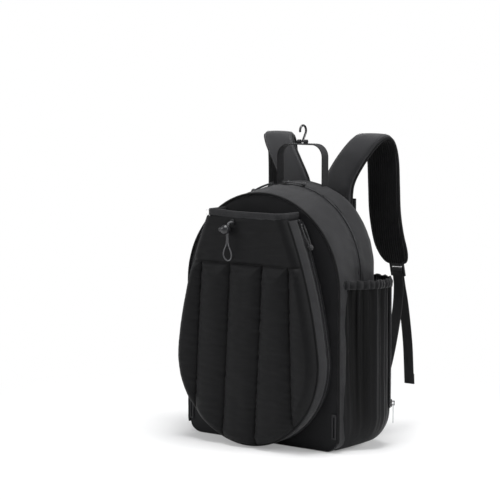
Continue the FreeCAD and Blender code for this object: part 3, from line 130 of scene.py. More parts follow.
# ------------------------------------------------------------------ main body
# The body is an arch of matte nylon: a front panel, a front gusset up to the zip and a rear
# gusset that turns into the back wall. The panels are sewn at piped seams that pucker.
def plain_weave(name, colour, thread=0.0009, depth=0.25, rough=0.62, sheen=0.12, spots=0.35,
                shaded=False, gloss=0.2):
    """Woven cloth: crossed threads in the bump, cloudy colour and a soft sheen."""
    cloth = bpy.data.materials.new(name)
    cloth.use_nodes = True
    nodes, links = cloth.node_tree.nodes, cloth.node_tree.links
    skin = nodes["Principled BSDF"]
    where = nodes.new("ShaderNodeTexCoord")
    heights = []
    for number, turn in enumerate(((0, 0, 0.79), (0.79, 0, 0), (0, 0.79, 0))):
        turned = nodes.new("ShaderNodeMapping")
        turned.inputs["Rotation"].default_value = turn
        links.new(where.outputs["Object"], turned.inputs["Vector"])
        threads = nodes.new("ShaderNodeTexWave")
        threads.bands_direction = "XYZ"[number]
        threads.inputs["Scale"].default_value = 0.314 / thread
        threads.inputs["Distortion"].default_value = 1.2
        threads.inputs["Detail"].default_value = 1
        links.new(turned.outputs["Vector"], threads.inputs["Vector"])
        heights.append(threads.outputs["Fac"])
    first = nodes.new("ShaderNodeMath")
    first.operation = "ADD"
    second = nodes.new("ShaderNodeMath")
    second.operation = "ADD"
    links.new(heights[0], first.inputs[0])
    links.new(heights[1], first.inputs[1])
    links.new(first.outputs[0], second.inputs[0])
    links.new(heights[2], second.inputs[1])
    bump = nodes.new("ShaderNodeBump")
    bump.inputs["Strength"].default_value = depth
    bump.inputs["Distance"].default_value = 0.0004
    links.new(second.outputs[0], bump.inputs["Height"])
    links.new(bump.outputs["Normal"], skin.inputs["Normal"])
    clouds = nodes.new("ShaderNodeTexNoise")
    clouds.inputs["Scale"].default_value = 38
    clouds.inputs["Detail"].default_value = 6
    links.new(where.outputs["Object"], clouds.inputs["Vector"])
    tone = nodes.new("ShaderNodeMapRange")
    tone.inputs["To Min"].default_value = 1 - spots
    tone.inputs["To Max"].default_value = 1 + spots
    links.new(clouds.outputs["Fac"], tone.inputs["Value"])
    strength = tone.outputs["Result"]
    if shaded:
        # Painted shade: the colour is scaled by a per-point attribute that darkens seam grooves and
        # fold hollows and lightens fold ridges.
        seam = nodes.new("ShaderNodeAttribute")
        seam.attribute_name = "painted_crease_shading"
        darker = nodes.new("ShaderNodeMath")
        darker.operation = "MULTIPLY"
        links.new(strength, darker.inputs[0])
        links.new(seam.outputs["Fac"], darker.inputs[1])
        strength = darker.outputs[0]
    dyed = nodes.new("ShaderNodeVectorMath")
    dyed.operation = "SCALE"
    dyed.inputs[0].default_value = colour
    links.new(strength, dyed.inputs["Scale"])
    links.new(dyed.outputs["Vector"], skin.inputs["Base Color"])
    skin.inputs["Roughness"].default_value = rough
    skin.inputs["Sheen Weight"].default_value = sheen
    skin.inputs["Sheen Roughness"].default_value = 0.45
    skin.inputs["Specular IOR Level"].default_value = gloss
    return cloth


def skin_mesh(name, rows, cloth, closed=False, flip=False, shade=None, keep=None, ends=False):
    """Smooth surface through rows of points; a closed row joins its own ends."""
    rows = np.asarray(rows, dtype=float)
    count, across = rows.shape[:2]
    wrap = across if closed else across - 1
    row, column = np.meshgrid(np.arange(count - 1), np.arange(wrap), indexing="ij")
    beside = (column + 1) % across
    faces = np.stack([row * across + column, row * across + beside,
                      (row + 1) * across + beside, (row + 1) * across + column], axis=-1)
    faces = faces.reshape(-1, 4)
    if keep is not None:
        flat = rows.reshape(-1, 3)
        faces = faces[keep(flat[faces].mean(axis=1))]
    if flip:
        faces = faces[:, ::-1]
    polygons = faces.tolist()
    if ends:
        low = list(range(across))
        high = [(count - 1) * across + index for index in range(across)]
        polygons += [low if flip else low[::-1], high[::-1] if flip else high]
    mesh = bpy.data.meshes.new(name)
    mesh.from_pydata(rows.reshape(-1, 3).tolist(), [], polygons)
    mesh.shade_smooth()
    if shade is not None:
        # Painted shade and light for the cloth colour, stored on each point.
        layer = mesh.attributes.new("painted_crease_shading", "FLOAT", "POINT")
        layer.data.foreach_set("value", np.asarray(shade, dtype=np.float32).ravel())
    mesh.materials.append(cloth)
    piece = bpy.data.objects.new(name, mesh)
    scene.collection.objects.link(piece)
    return piece


def settle(piece, body, slot, *nodes):
    """Fix a finished piece to its body and hide the solids it stands for; the slot is not used."""
    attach(piece, body)
    if nodes:
        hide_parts(*nodes)
    return piece


def even(points, count, closed=False):
    """The same line through evenly spaced points."""
    points = np.asarray(points, dtype=float)
    if closed:
        points = np.vstack([points, points[:1]])
    steps = np.linalg.norm(np.diff(points, axis=0), axis=1)
    along = np.concatenate([[0], np.cumsum(steps)])
    places = np.linspace(0, along[-1], count, endpoint=not closed)
    return np.stack([np.interp(places, along, points[:, axis])
                     for axis in range(points.shape[1])], axis=1)


def outward(line, closed=True):
    """Unit normals of a plane line that runs anticlockwise."""
    if closed:
        way = np.roll(line, -1, axis=0) - np.roll(line, 1, axis=0)
    else:
        way = np.gradient(line, axis=0)
    way /= np.linalg.norm(way, axis=1, keepdims=True)
    return np.stack([way[:, 1], -way[:, 0]], axis=1)


def arch_line(radius, centre, inset=0.0, count=420, foot=None, corner=0.018):
    """Outline of the body: half circle on straight sides with rounded base corners."""
    reach, low = radius - inset, inset if foot is None else foot
    corner = max(corner - inset, 0.003)
    turn = np.linspace(0, math.pi / 2, 14)
    right = np.stack([reach - corner + corner * np.sin(turn),
                      low + corner - corner * np.cos(turn)], 1)
    dome = np.linspace(0, math.pi, 140)
    top = np.stack([reach * np.cos(dome), centre + reach * np.sin(dome)], 1)
    left = right[::-1] * (-1, 1)
    return even(np.vstack([[[0, low]], right, top, left]), count, closed=True)


def crumple(points, size, seed):
    """Smooth noise from -1 to 1 at each point."""
    scaled = np.asarray(points) / size + seed * 7.3
    flat = [noise.noise(Vector(spot)) for spot in scaled.reshape(-1, 3).tolist()]
    return np.array(flat).reshape(scaled.shape[:-1])


def profile(depth):
    """Radius and centre height of the body's outline at a depth."""
    radius = np.interp(depth, (0.004, 0.074, 0.086, 0.15), (0.160, 0.152, 0.152, 0.146))
    centre = np.interp(depth, (0.004, 0.074, 0.086, 0.15), (0.271, 0.291, 0.291, 0.305))
    return float(radius), float(centre)


def base_corner(depth):
    """Soft base corner: the cloth pulls in at the front, less so at the back."""
    return float(np.interp(depth, (0, 0.07, 0.15), (0.026, 0.022, 0.018)))


def gusset(name, cloth, depths, insets, fullness, seed, keep=None):
    """Band round the body, fuller between its seams and puckered beside them."""
    rows = []
    first, last = depths[0], depths[-1]
    for depth, inset in zip(depths, insets):
        line = arch_line(*profile(depth), inset, corner=base_corner(depth))
        normal = outward(line)
        spots = np.stack([line[:, 0], np.full(len(line), depth), line[:, 1]], 1)
        seam = min(depth - first, last - depth)
        share = (depth - first) / (last - first)
        stretched = spots * (1, 0.25, 1)
        lift = fullness * math.sin(math.pi * share)
        lift = lift + 0.0019 * crumple(stretched, 0.011, seed) * math.exp(-seam / 0.014)
        lift = lift + 0.0032 * crumple(spots, 0.070, seed + 1) * min(1, seam / 0.012)
        lift = lift + 0.0006 * crumple(spots, 0.022, seed + 2) * min(1, seam / 0.006)
        standing = np.clip(spots[:, 2] / 0.012, 0, 1)
        spots[:, 0] += normal[:, 0] * lift * standing
        spots[:, 2] += normal[:, 1] * lift * standing
        rows.append(spots)
    return skin_mesh(name, rows, cloth, closed=True, keep=keep)


body_cloth = plain_weave("body_nylon", (0.0150, 0.0150, 0.0163), rough=0.60)
dark_cloth = plain_weave("front_nylon", (0.0085, 0.0085, 0.0095), rough=0.7, sheen=0.05)
front_depths = np.concatenate([[0.0006, 0.0016, 0.003], np.linspace(0.0045, 0.074, 34)])
front_insets = np.concatenate([[0.0016, 0.0006, 0.0], np.zeros(34)])
settle(gusset("front_gusset_cloth", body_cloth, front_depths, front_insets, 0.0016, 1),
       "pack", "shell_fabric", "front_gusset")
settle(gusset("side_strip_cloth", body_cloth, np.linspace(0.074, 0.086, 5), np.zeros(5), 0.0, 3,
              keep=lambda middle: middle[:, 2] < 0.2),
       "pack", "shell_fabric", "lower_gusset_strip")
rounding = np.linspace(0, math.pi / 2, 12)
rear_depths = np.concatenate([np.linspace(0.086, 0.116, 12)[:-1],
                              0.116 + 0.034 * np.sin(rounding)])
rear_insets = np.concatenate([np.zeros(11), 0.034 * (1 - np.cos(rounding))])
rear_cloth = gusset("rear_shell_cloth", body_cloth, rear_depths, rear_insets, 0.0010, 5)
settle(rear_cloth, "pack", "shell_fabric")

back_rows = []
back_line = arch_line(*profile(0.15), 0.034)
for share in np.linspace(1, 0.02, 26):
    middle = np.array([0, 0.24])
    line = middle + (back_line - middle) * share
    back_rows.append(np.stack([line[:, 0], np.full(len(line), 0.1499), line[:, 1]], 1))
back_wall = skin_mesh("back_wall_cloth", back_rows, body_cloth, closed=True)
settle(back_wall, "pack", "shell_fabric", "rear_shell")

front_rows = []
front_line = arch_line(0.160, 0.271, 0.0014, corner=base_corner(0))
for share in np.linspace(0.02, 1, 44):
    middle = np.array([0, 0.20])
    line = middle + (front_line - middle) * share
    spots = np.stack([line[:, 0], np.full(len(line), 0.0016), line[:, 1]], 1)
    spots[:, 1] += 0.0013 * crumple(spots, 0.05, 9) - 0.0012 * (share > 0.8) * math.sin(
        math.pi * max(share - 0.8, 0) / 0.2)
    front_rows.append(spots)
settle(skin_mesh("front_panel_cloth", front_rows, dark_cloth, closed=True), "pack",
       "shell_fabric", "front_panel")


def tube_rows(path, radius, sides=10):
    """Rings round a path of points."""
    path = np.asarray(path, dtype=float)
    way = np.gradient(path, axis=0)
    way /= np.linalg.norm(way, axis=1, keepdims=True)
    side = np.cross(way[0], (0.31, 0.91, 0.27))
    rings = []
    for spot, ahead in zip(path, way):
        side = side - ahead * side.dot(ahead)
        side /= np.linalg.norm(side)
        other = np.cross(ahead, side)
        turn = np.linspace(0, 2 * math.pi, sides, endpoint=False)[:, None]
        rings.append(spot + radius * (np.cos(turn) * side + np.sin(turn) * other))
    return rings


edge_cloth = plain_weave("edge_binding", (0.005, 0.005, 0.0055), thread=0.0012, rough=0.7,
                         sheen=0.08)
PIPING_POINTS = 700
PIPING_DEPTH = 0.0020
PIPING_FOOT = 0.016
PIPING_RADIUS = 0.0021
piping_line = arch_line(0.160, 0.271, -0.0012, PIPING_POINTS, corner=base_corner(0))
piping_path = np.stack([piping_line[:, 0], np.full(PIPING_POINTS, PIPING_DEPTH),
                        piping_line[:, 1]], 1)
piping_path = piping_path[piping_path[:, 2] > PIPING_FOOT]
piping_path[:, 1] += 0.00035 * crumple(piping_path, 0.012, 4)
settle(skin_mesh("front_seam_piping", tube_rows(piping_path, PIPING_RADIUS), edge_cloth,
                 closed=True,
                 flip=False, ends=True), "pack", "binding", "front_piping")


# ------------------------------------------------------------------ zips
# Nylon coil zips on woven tape. The coil is a chain of small rounded loops, and a row of lock
# stitches holds each tape to the cloth beside it.
def chain_tree():
    """Repeats a small rounded bar along a line, turned to the line and to its up direction."""
    tree = bpy.data.node_groups.new("sewn_chain", "GeometryNodeTree")
    face = tree.interface
    face.new_socket("Line", in_out="INPUT", socket_type="NodeSocketGeometry")
    for label, start in (("Pitch", 0.003), ("Bar Length", 0.002), ("Bar Width", 0.0007),
                         ("Bar Height", 0.0005)):
        face.new_socket(label, in_out="INPUT", socket_type="NodeSocketFloat").default_value = start
    face.new_socket("Finish", in_out="INPUT", socket_type="NodeSocketMaterial")
    face.new_socket("Chain", in_out="OUTPUT", socket_type="NodeSocketGeometry")
    nodes, links = tree.nodes, tree.links
    start = nodes.new("NodeGroupInput")
    end = nodes.new("NodeGroupOutput")
    curve = nodes.new("GeometryNodeMeshToCurve")
    spread = nodes.new("GeometryNodeCurveToPoints")
    spread.mode = "LENGTH"
    bar = nodes.new("GeometryNodeMeshIcoSphere")
    bar.inputs["Subdivisions"].default_value = 1
    bar.inputs["Radius"].default_value = 0.5
    up = nodes.new("GeometryNodeInputNamedAttribute")
    up.data_type = "FLOAT_VECTOR"
    up.inputs["Name"].default_value = "up"
    tangent = nodes.new("GeometryNodeInputTangent")
    hold = nodes.new("GeometryNodeCaptureAttribute")
    hold.capture_items.new("VECTOR", "Way")
    lay = nodes.new("FunctionNodeAlignRotationToVector")
    lay.axis = "X"
    stand = nodes.new("FunctionNodeAlignRotationToVector")
    stand.axis = "Z"
    stand.pivot_axis = "X"
    size = nodes.new("ShaderNodeCombineXYZ")
    place = nodes.new("GeometryNodeInstanceOnPoints")
    solid = nodes.new("GeometryNodeRealizeInstances")
    finish = nodes.new("GeometryNodeSetMaterial")
    links.new(start.outputs["Line"], curve.inputs["Mesh"])
    links.new(curve.outputs["Curve"], hold.inputs["Geometry"])
    links.new(tangent.outputs["Tangent"], hold.inputs["Way"])
    links.new(hold.outputs["Geometry"], spread.inputs["Curve"])
    links.new(start.outputs["Pitch"], spread.inputs["Length"])
    links.new(spread.outputs["Points"], place.inputs["Points"])
    links.new(bar.outputs["Mesh"], place.inputs["Instance"])
    links.new(hold.outputs["Way"], lay.inputs["Vector"])
    links.new(lay.outputs["Rotation"], stand.inputs["Rotation"])
    links.new(up.outputs["Attribute"], stand.inputs["Vector"])
    links.new(stand.outputs["Rotation"], place.inputs["Rotation"])
    for label, axis in (("Bar Length", "X"), ("Bar Width", "Y"), ("Bar Height", "Z")):
        links.new(start.outputs[label], size.inputs[axis])
    links.new(size.outputs["Vector"], place.inputs["Scale"])
    links.new(place.outputs["Instances"], solid.inputs["Geometry"])
    links.new(solid.outputs["Geometry"], finish.inputs["Geometry"])
    links.new(start.outputs["Finish"], finish.inputs["Material"])
    links.new(finish.outputs["Geometry"], end.inputs["Chain"])
    return tree


sewn_chain = chain_tree()


def chain(name, lines, sizes, finish):
    """One mesh of bars along several lines; each line is a pair of points and up directions."""
    points, ups, edges = [], [], []
    for line, up in lines:
        first = len(points)
        points += np.asarray(line).tolist()
        ups += np.broadcast_to(up, np.shape(line)).tolist()
        edges += [(index, index + 1) for index in range(first, len(points) - 1)]
    wire = bpy.data.meshes.new(f"{name}_line")
    wire.from_pydata(points, edges, [])
    layer = wire.attributes.new("up", "FLOAT_VECTOR", "POINT")
    layer.data.foreach_set("vector", np.asarray(ups, dtype=np.float32).ravel())
    guide = bpy.data.objects.new(f"{name}_guide", wire)
    scene.collection.objects.link(guide)
    repeat = guide.modifiers.new("sewn_chain", "NODES")
    repeat.node_group = sewn_chain
    wanted = dict(zip(("Pitch", "Bar Length", "Bar Width", "Bar Height"), sizes), Finish=finish)
    for socket in sewn_chain.interface.items_tree:
        if socket.in_out == "INPUT" and socket.name in wanted:
            repeat[socket.identifier] = wanted[socket.name]
    seen = guide.evaluated_get(bpy.context.evaluated_depsgraph_get())
    mesh = bpy.data.meshes.new_from_object(seen)
    mesh.name = name
    mesh.shade_smooth()
    bpy.data.objects.remove(guide)
    piece = bpy.data.objects.new(name, mesh)
    scene.collection.objects.link(piece)
    return piece


def nylon(name, colour, rough, speck=900, coat=0.0, metal=0.0, grain=0.05):
    """Smooth hard finish with a fine moulded or brushed grain."""
    hard = bpy.data.materials.new(name)
    hard.use_nodes = True
    nodes, links = hard.node_tree.nodes, hard.node_tree.links
    skin = nodes["Principled BSDF"]
    where = nodes.new("ShaderNodeTexCoord")
    grit = nodes.new("ShaderNodeTexNoise")
    grit.inputs["Scale"].default_value = speck
    grit.inputs["Detail"].default_value = 3
    links.new(where.outputs["Object"], grit.inputs["Vector"])
    bump = nodes.new("ShaderNodeBump")
    bump.inputs["Strength"].default_value = grain
    bump.inputs["Distance"].default_value = 0.0003
    links.new(grit.outputs["Fac"], bump.inputs["Height"])
    links.new(bump.outputs["Normal"], skin.inputs["Normal"])
    wear = nodes.new("ShaderNodeTexNoise")
    wear.inputs["Scale"].default_value = 160
    links.new(where.outputs["Object"], wear.inputs["Vector"])
    spread = nodes.new("ShaderNodeMapRange")
    spread.inputs["To Min"].default_value = rough - 0.1
    spread.inputs["To Max"].default_value = rough + 0.14
    links.new(wear.outputs["Fac"], spread.inputs["Value"])
    links.new(spread.outputs["Result"], skin.inputs["Roughness"])
    skin.inputs["Base Color"].default_value = (*colour, 1)
    skin.inputs["Metallic"].default_value = metal
    skin.inputs["Coat Weight"].default_value = coat
    return hard


coil_nylon = nylon("coil_nylon", (0.016, 0.016, 0.018), 0.36)
tape_cloth = plain_weave("zip_tape_twill", (0.014, 0.014, 0.016), thread=0.0007, rough=0.75,
                         sheen=0.15)
thread_black = plain_weave("black_thread", (0.020, 0.020, 0.0215), thread=0.0003, rough=0.6,
                           spots=0.2)
for node in ("main_zip_tapes", "racket_zip_tapes", "bottle_zip_tapes"):
    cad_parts[node].data.materials.clear()
    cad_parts[node].data.materials.append(tape_cloth)


def over_dome(depth, lift, low=0.2, count=900):
    """Line over the body at a depth, with its outward directions, above a height."""
    line = arch_line(*profile(depth), -lift, count)
    normal = outward(line)
    kept = line[:, 1] > low
    spots = np.stack([line[:, 0], np.full(count, depth), line[:, 1]], 1)[kept]
    ups = np.stack([normal[:, 0], np.zeros(count), normal[:, 1]], 1)[kept]
    return spots, ups


settle(chain("main_coil", [over_dome(0.0788, 0.0008), over_dome(0.0812, 0.0008)],
             (0.0024, 0.0017, 0.0030, 0.0026), coil_nylon), "pack", "coil", "main_zip_coil")
settle(chain("main_zip_stitches", [over_dome(0.0722, 0.0012), over_dome(0.0888, 0.0009)],
             (0.0034, 0.0024, 0.0007, 0.0006), thread_black), "pack", "binding")


# ------------------------------------------------------------------ racket pocket
# A padded front panel quilted into five upright channels, a smooth rolled gusset piped at its
# front edge, a zip down the right side and a bound hem across the open mouth.
POCKET_RADIUS = 0.147
FOOT_Z = 0.15
SIDE_RADIUS = 0.8
LEAN = 0.8 - 0.147
SIDE_ANGLE = math.radians(7)
SIDE_X, SIDE_Z = LEAN * math.cos(SIDE_ANGLE), 0.15 - LEAN * math.sin(SIDE_ANGLE)
HEM_LOW, HEM_TOP = 0.392, 0.404


def pocket_line(inset=0.0, top=HEM_LOW, count=480):
    """Pocket's outline anticlockwise from its left top corner, round the foot, to the right one."""
    reach = math.asin((top - SIDE_Z) / (SIDE_RADIUS - inset))
    up = np.linspace(SIDE_ANGLE, reach, 60)
    right = np.stack([-SIDE_X + (SIDE_RADIUS - inset) * np.cos(up),
                      SIDE_Z + (SIDE_RADIUS - inset) * np.sin(up)], 1)
    round_foot = np.linspace(math.pi - SIDE_ANGLE, 2 * math.pi + SIDE_ANGLE, 140)
    foot = np.stack([(POCKET_RADIUS - inset) * np.cos(round_foot),
                     FOOT_Z + (POCKET_RADIUS - inset) * np.sin(round_foot)], 1)
    left = (right * (-1, 1))[::-1]
    return even(np.vstack([left, foot[1:-1], right]), count)


def edge_gap(across, height):
    """Distance in from the pocket's outline."""
    from_foot = 0.147 - np.hypot(across, height - 0.15)
    from_side = 0.8 - np.hypot(np.abs(across) + SIDE_X, height - SIDE_Z)
    low = height < 0.15 + np.abs(across) * math.tan(SIDE_ANGLE)
    return np.where(low, from_foot, from_side)


CROSS_SEAM = 0.315
CHANNELS = (((0.0, -0.110), (0.046, -0.107), (0.291, -0.092), (0.33, -0.088)),
            ((0.0, -0.047), (0.33, -0.028)),
            ((0.0, 0.022), (0.33, 0.040)),
            ((0.0, 0.104), (0.044, 0.101), (0.187, 0.096), (0.291, 0.094), (0.33, 0.092)))


def seam_at(seam, height):
    return np.interp(height, [spot[0] for spot in seam], [spot[1] for spot in seam])


def quilt_depth(across, height):
    """How far forward the quilted cloth stands, and the painted shade that darkens its seam
    grooves.
    """
    gap = np.maximum(edge_gap(across, height), 0)
    rim = np.sqrt(1 - (1 - np.clip(gap / 0.015, 0, 1)) ** 2)
    seams = np.stack([seam_at(seam, height) for seam in CHANNELS])
    near = np.abs(across - seams).min(axis=0)
    row_near = np.abs(height - CROSS_SEAM)
    low = height < CROSS_SEAM
    beside = np.where(low, np.minimum(near, row_near), row_near)
    puff = np.where(low, np.clip(beside / 0.030, 0, 1), 1)
    puff = np.sqrt(1 - (1 - puff) ** 2)
    row_puff = np.sqrt(1 - (1 - np.clip(row_near / 0.016, 0, 1)) ** 2)
    spots = np.stack([across, np.zeros_like(across), height], -1)
    fan = crumple(spots * (0.35, 1, 1), 0.0085, 11) * np.exp(-beside / 0.012)
    fine = crumple(spots * (0.22, 1, 1), 0.006, 12)
    large = crumple(spots * (1, 1, 0.6), 0.05, 13)
    forward = 0.0375 + rim * np.where(low, 0.0098 + 0.0100 * puff, 0.0110 + 0.0040 * row_puff)
    forward = forward + rim * (0.0019 * fan + 0.0007 * fine + 0.0010 * large * puff)
    groove = np.where(low, beside, row_near)
    # Painted shade: the colour is darkened along each seam groove, most at the groove's middle.
    shade = 1 - 0.75 * np.exp(-((groove / 0.0026) ** 2))
    return -forward, shade


rows_up = 300
swing = np.linspace(-math.pi / 2 + 0.02, SIDE_ANGLE, 110)
low_heights = FOOT_Z + POCKET_RADIUS * np.sin(swing)
heights = np.concatenate([low_heights,
                          np.linspace(low_heights[-1], HEM_LOW + 0.002, rows_up - 109)[1:]])
half_widths = np.where(heights <= low_heights[-1] + 1e-9,
                       np.sqrt(np.maximum(POCKET_RADIUS ** 2 - (heights - FOOT_Z) ** 2, 0)),
                       np.sqrt(SIDE_RADIUS ** 2 - (heights - SIDE_Z) ** 2) - SIDE_X)
spread = np.linspace(-1, 1, 241)
spread = np.sin(spread * math.pi / 2) * 0.35 + spread * 0.65
quilt_x = half_widths[:, None] * spread[None, :]
quilt_z = np.broadcast_to(heights[:, None], quilt_x.shape)
# quilt_shade is painted groove shade, carried on the panel's points into its colour.
quilt_y, quilt_shade = quilt_depth(quilt_x, quilt_z)
quilt_cloth = plain_weave("quilted_nylon", (0.0046, 0.0046, 0.0051), rough=0.52, sheen=0.03,
                          spots=0.25,
                          gloss=0.13, shaded=True)
quilt = skin_mesh("quilted_panel", np.stack([quilt_x, quilt_y, quilt_z], -1), quilt_cloth,
                  shade=quilt_shade, flip=False)
settle(quilt, "pack", "quilt_fabric", "racket_pocket_front")


def pocket_band(name, cloth, depths, lifts, seed, pucker=0.0006, keep=None, flip=False,
                top=HEM_LOW):
    """Band of cloth round the pocket from one depth to another."""
    rows = []
    for depth, lift in zip(depths, lifts):
        line = pocket_line(-lift, top)
        normal = outward(line, closed=False)
        spots = np.stack([line[:, 0], np.full(len(line), depth), line[:, 1]], 1)
        push = pucker * crumple(spots * (1, 0.3, 1), 0.012, seed)
        push = push + 0.0009 * crumple(spots, 0.06, seed + 1)
        spots[:, 0] += normal[:, 0] * push
        spots[:, 2] = np.maximum(spots[:, 2] + normal[:, 1] * push, 0.0006)
        rows.append(spots)
    return skin_mesh(name, rows, cloth, keep=keep, flip=flip)


roll = np.linspace(0, math.pi, 18)
settle(pocket_band("rolled_gusset", body_cloth, -0.0385 + 0.0245 * (1 - np.cos(roll)) / 2,
                   0.0026 * np.sin(roll) - 0.0006, 21), "pack", "shell_fabric",
                   "racket_pocket_gusset")
settle(pocket_band("pocket_flange", dark_cloth, np.linspace(-0.0042, 0.0012, 5),
                   np.array([0, 0.0004, 0.0002, -0.0006, -0.0012]), 23), "pack", "shell_fabric",
       "racket_pocket_flange")
settle(pocket_band("pocket_hinge_cloth", body_cloth, np.linspace(-0.0142, -0.0038, 7),
                   -0.0012 * np.sin(np.linspace(0, math.pi, 7)), 25,
                   keep=lambda spot: spot[:, 0] < 0),
       "pack", "shell_fabric", "racket_pocket_hinge_strip")


def round_pocket(depth, lift, right_only=False, count=900):
    """Line round the pocket at a depth, with its outward directions."""
    line = pocket_line(-lift, count=count)
    normal = outward(line, closed=False)
    kept = line[:, 0] > 0 if right_only else np.ones(count, bool)
    spots = np.stack([line[:, 0], np.full(count, depth), line[:, 1]], 1)[kept]
    spots[:, 2] = np.maximum(spots[:, 2], 0.0012)
    ups = np.stack([normal[:, 0], np.zeros(count), normal[:, 1]], 1)[kept]
    return spots, ups


pocket_piping = round_pocket(-0.0392, 0.0004)[0]
pocket_piping[:, 2] = np.maximum(pocket_piping[:, 2], 0.0024)
settle(skin_mesh("pocket_piping", tube_rows(pocket_piping[::2], 0.0019), edge_cloth, closed=True,
                 ends=True), "pack", "binding")
settle(chain("racket_coil", [round_pocket(-0.0104, 0.0008, True),
                             round_pocket(-0.0078, 0.0008, True)],
             (0.0026, 0.0018, 0.0030, 0.0026), coil_nylon), "pack", "coil", "racket_zip_coil")
settle(chain("racket_zip_stitches", [round_pocket(-0.0152, 0.0009, True)],
             (0.0034, 0.0024, 0.0007, 0.0006), thread_black), "pack", "binding")

# Hem: cloth folded over the mouth, two rows of stitches along it.
HEM_RISE = 0.0026
HEM_RISE_X = 0.06
HEM_RISE_REACH = 0.03
hem_half = math.sqrt(SIDE_RADIUS ** 2 - (HEM_TOP - SIDE_Z) ** 2) - SIDE_X
hem_plan = []
for across, along in ((-hem_half, 0.0), (-hem_half, -0.030)):
    hem_plan.append((across + 0.0015, along))
corner_turn = np.linspace(math.pi, 1.5 * math.pi, 10)
hem_plan += [(-hem_half + 0.0135 + 0.012 * math.cos(a), -0.0385 + 0.012 * math.sin(a))
             for a in corner_turn]
hem_plan += [(-x, y) for x, y in reversed(hem_plan)]
hem_path = even(hem_plan, 260)
hem_out = outward(hem_path, closed=False)
section = np.linspace(0, 2 * math.pi, 20, endpoint=False)
hem_rows = []
for spot, normal in zip(hem_path, hem_out):
    crown = HEM_RISE * np.exp(-((spot[0] + HEM_RISE_X) / HEM_RISE_REACH) ** 2)
    thick = 0.0022 * np.sign(np.cos(section)) * np.abs(np.cos(section)) ** 0.6
    tall = 0.0062 * np.sign(np.sin(section)) * np.abs(np.sin(section)) ** 0.5
    ripple = 0.0004 * noise.noise(Vector((spot[0] * 90, spot[1] * 90, 3)))
    hem_rows.append(np.stack([spot[0] + normal[0] * (thick + ripple),
                              spot[1] + normal[1] * (thick + ripple),
                              0.398 + crown + tall], 1))
settle(skin_mesh("mouth_hem", hem_rows, body_cloth, closed=True, ends=True, flip=True),
       "pack", "binding", "racket_pocket_hem")
hem_front = hem_path[(hem_path[:, 1] < -0.04)]
hem_seams = []
for height in (0.3945, 0.4015):
    line = np.stack([hem_front[:, 0], np.full(len(hem_front), -0.0527),
                     height + HEM_RISE * np.exp(-((hem_front[:, 0]
                                                   + HEM_RISE_X) / HEM_RISE_REACH) ** 2)], 1)
    hem_seams.append((line, (0, -1, 0)))
settle(chain("hem_stitches", hem_seams, (0.0036, 0.0026, 0.0007, 0.0006), thread_black),
       "pack", "binding")
quilt_seams = []
for seam in CHANNELS:
    tall = np.linspace(0.012, CROSS_SEAM - 0.002, 160)
    across = seam_at(seam, tall)
    inside = edge_gap(across, tall) > 0.006
    depth = quilt_depth(across, tall)[0]
    quilt_seams.append((np.stack([across, depth - 0.0002, tall], 1)[inside], (0, -1, 0)))
seam_x = np.linspace(-0.108, 0.108, 200)
seam_x = seam_x[edge_gap(seam_x, np.full(200, CROSS_SEAM)) > 0.005]
seam_y = quilt_depth(seam_x, np.full(len(seam_x), CROSS_SEAM))[0] - 0.0002
quilt_seams.append((np.stack([seam_x, seam_y, np.full(len(seam_x), CROSS_SEAM)], 1), (0, -1, 0)))
seam_thread = plain_weave("seam_thread", (0.008, 0.008, 0.009), thread=0.0003, rough=0.7,
                          spots=0.2)
settle(chain("quilt_stitches", quilt_seams, (0.0034, 0.0024, 0.0008, 0.0006), seam_thread),
       "pack", "quilt_fabric")


# ------------------------------------------------------------------ bottle pockets
# A gathered pocket on each side: cloth cut wide and drawn in by an elastic rim, so folds fan
# down from it. An upright zip near the rear edge lets a handle through.
CUP_X, CUP_Y, CUP_RADIUS = 0.147, 0.084, 0.054
SLIT_ANGLE, SLIT_HALF, SLIT_LOW = math.radians(31), 0.0060, 0.066
RIM_LOW, RIM_TOP = 0.276, 0.291


def cup_line(radius, count=301):
    """Plan of a bottle pocket from its front seam round to its rear seam."""
    front, rear = np.array([0.1505, 0.007]), np.array([0.1385, 0.138])
    middle = np.array([CUP_X, CUP_Y])

    def touch(seam, sign):
        gap = seam - middle
        return math.atan2(gap[1], gap[0]) + sign * math.acos(min(radius / np.hypot(*gap), 1))

    turn = np.linspace(touch(front, 1), touch(rear, -1), 160)
    arc = middle + radius * np.stack([np.cos(turn), np.sin(turn)], 1)
    return even(np.vstack([[front], arc, [rear]]), count)


def folds(share, height):
    """How far the gathered cloth stands off its plain form: folds that fade downwards."""
    gather = np.clip((height - 0.02) / (RIM_TOP - 0.02), 0, 1)
    fan = share + 0.16 * (1 - gather) * (share - 0.42)
    creases = sum(size * (1 - np.abs(np.cos(math.pi * (count * fan + shift))) * 2) for size,
                  count, shift in (
        (0.46, 6, 0.15), (0.34, 10, 0.45), (0.20, 17, 0.8)))
    hollow = np.exp(-((share - 0.20 - 0.06 * (1 - gather)) / 0.10) ** 2)
    fine = np.cos(2 * math.pi * (19 * share + 0.6 * np.sin(9 * share)))
    near_rim = np.exp(-(RIM_LOW - height) / 0.022)
    seam = np.clip(np.minimum(share, 1 - share) / 0.06, 0, 1)
    drape = np.sin(math.pi * gather) ** 0.7
    return seam * (gather ** 0.6 * (0.0052 * creases - 0.0030) - 0.0085 * hollow * drape
                   + 0.0014 * near_rim * fine)


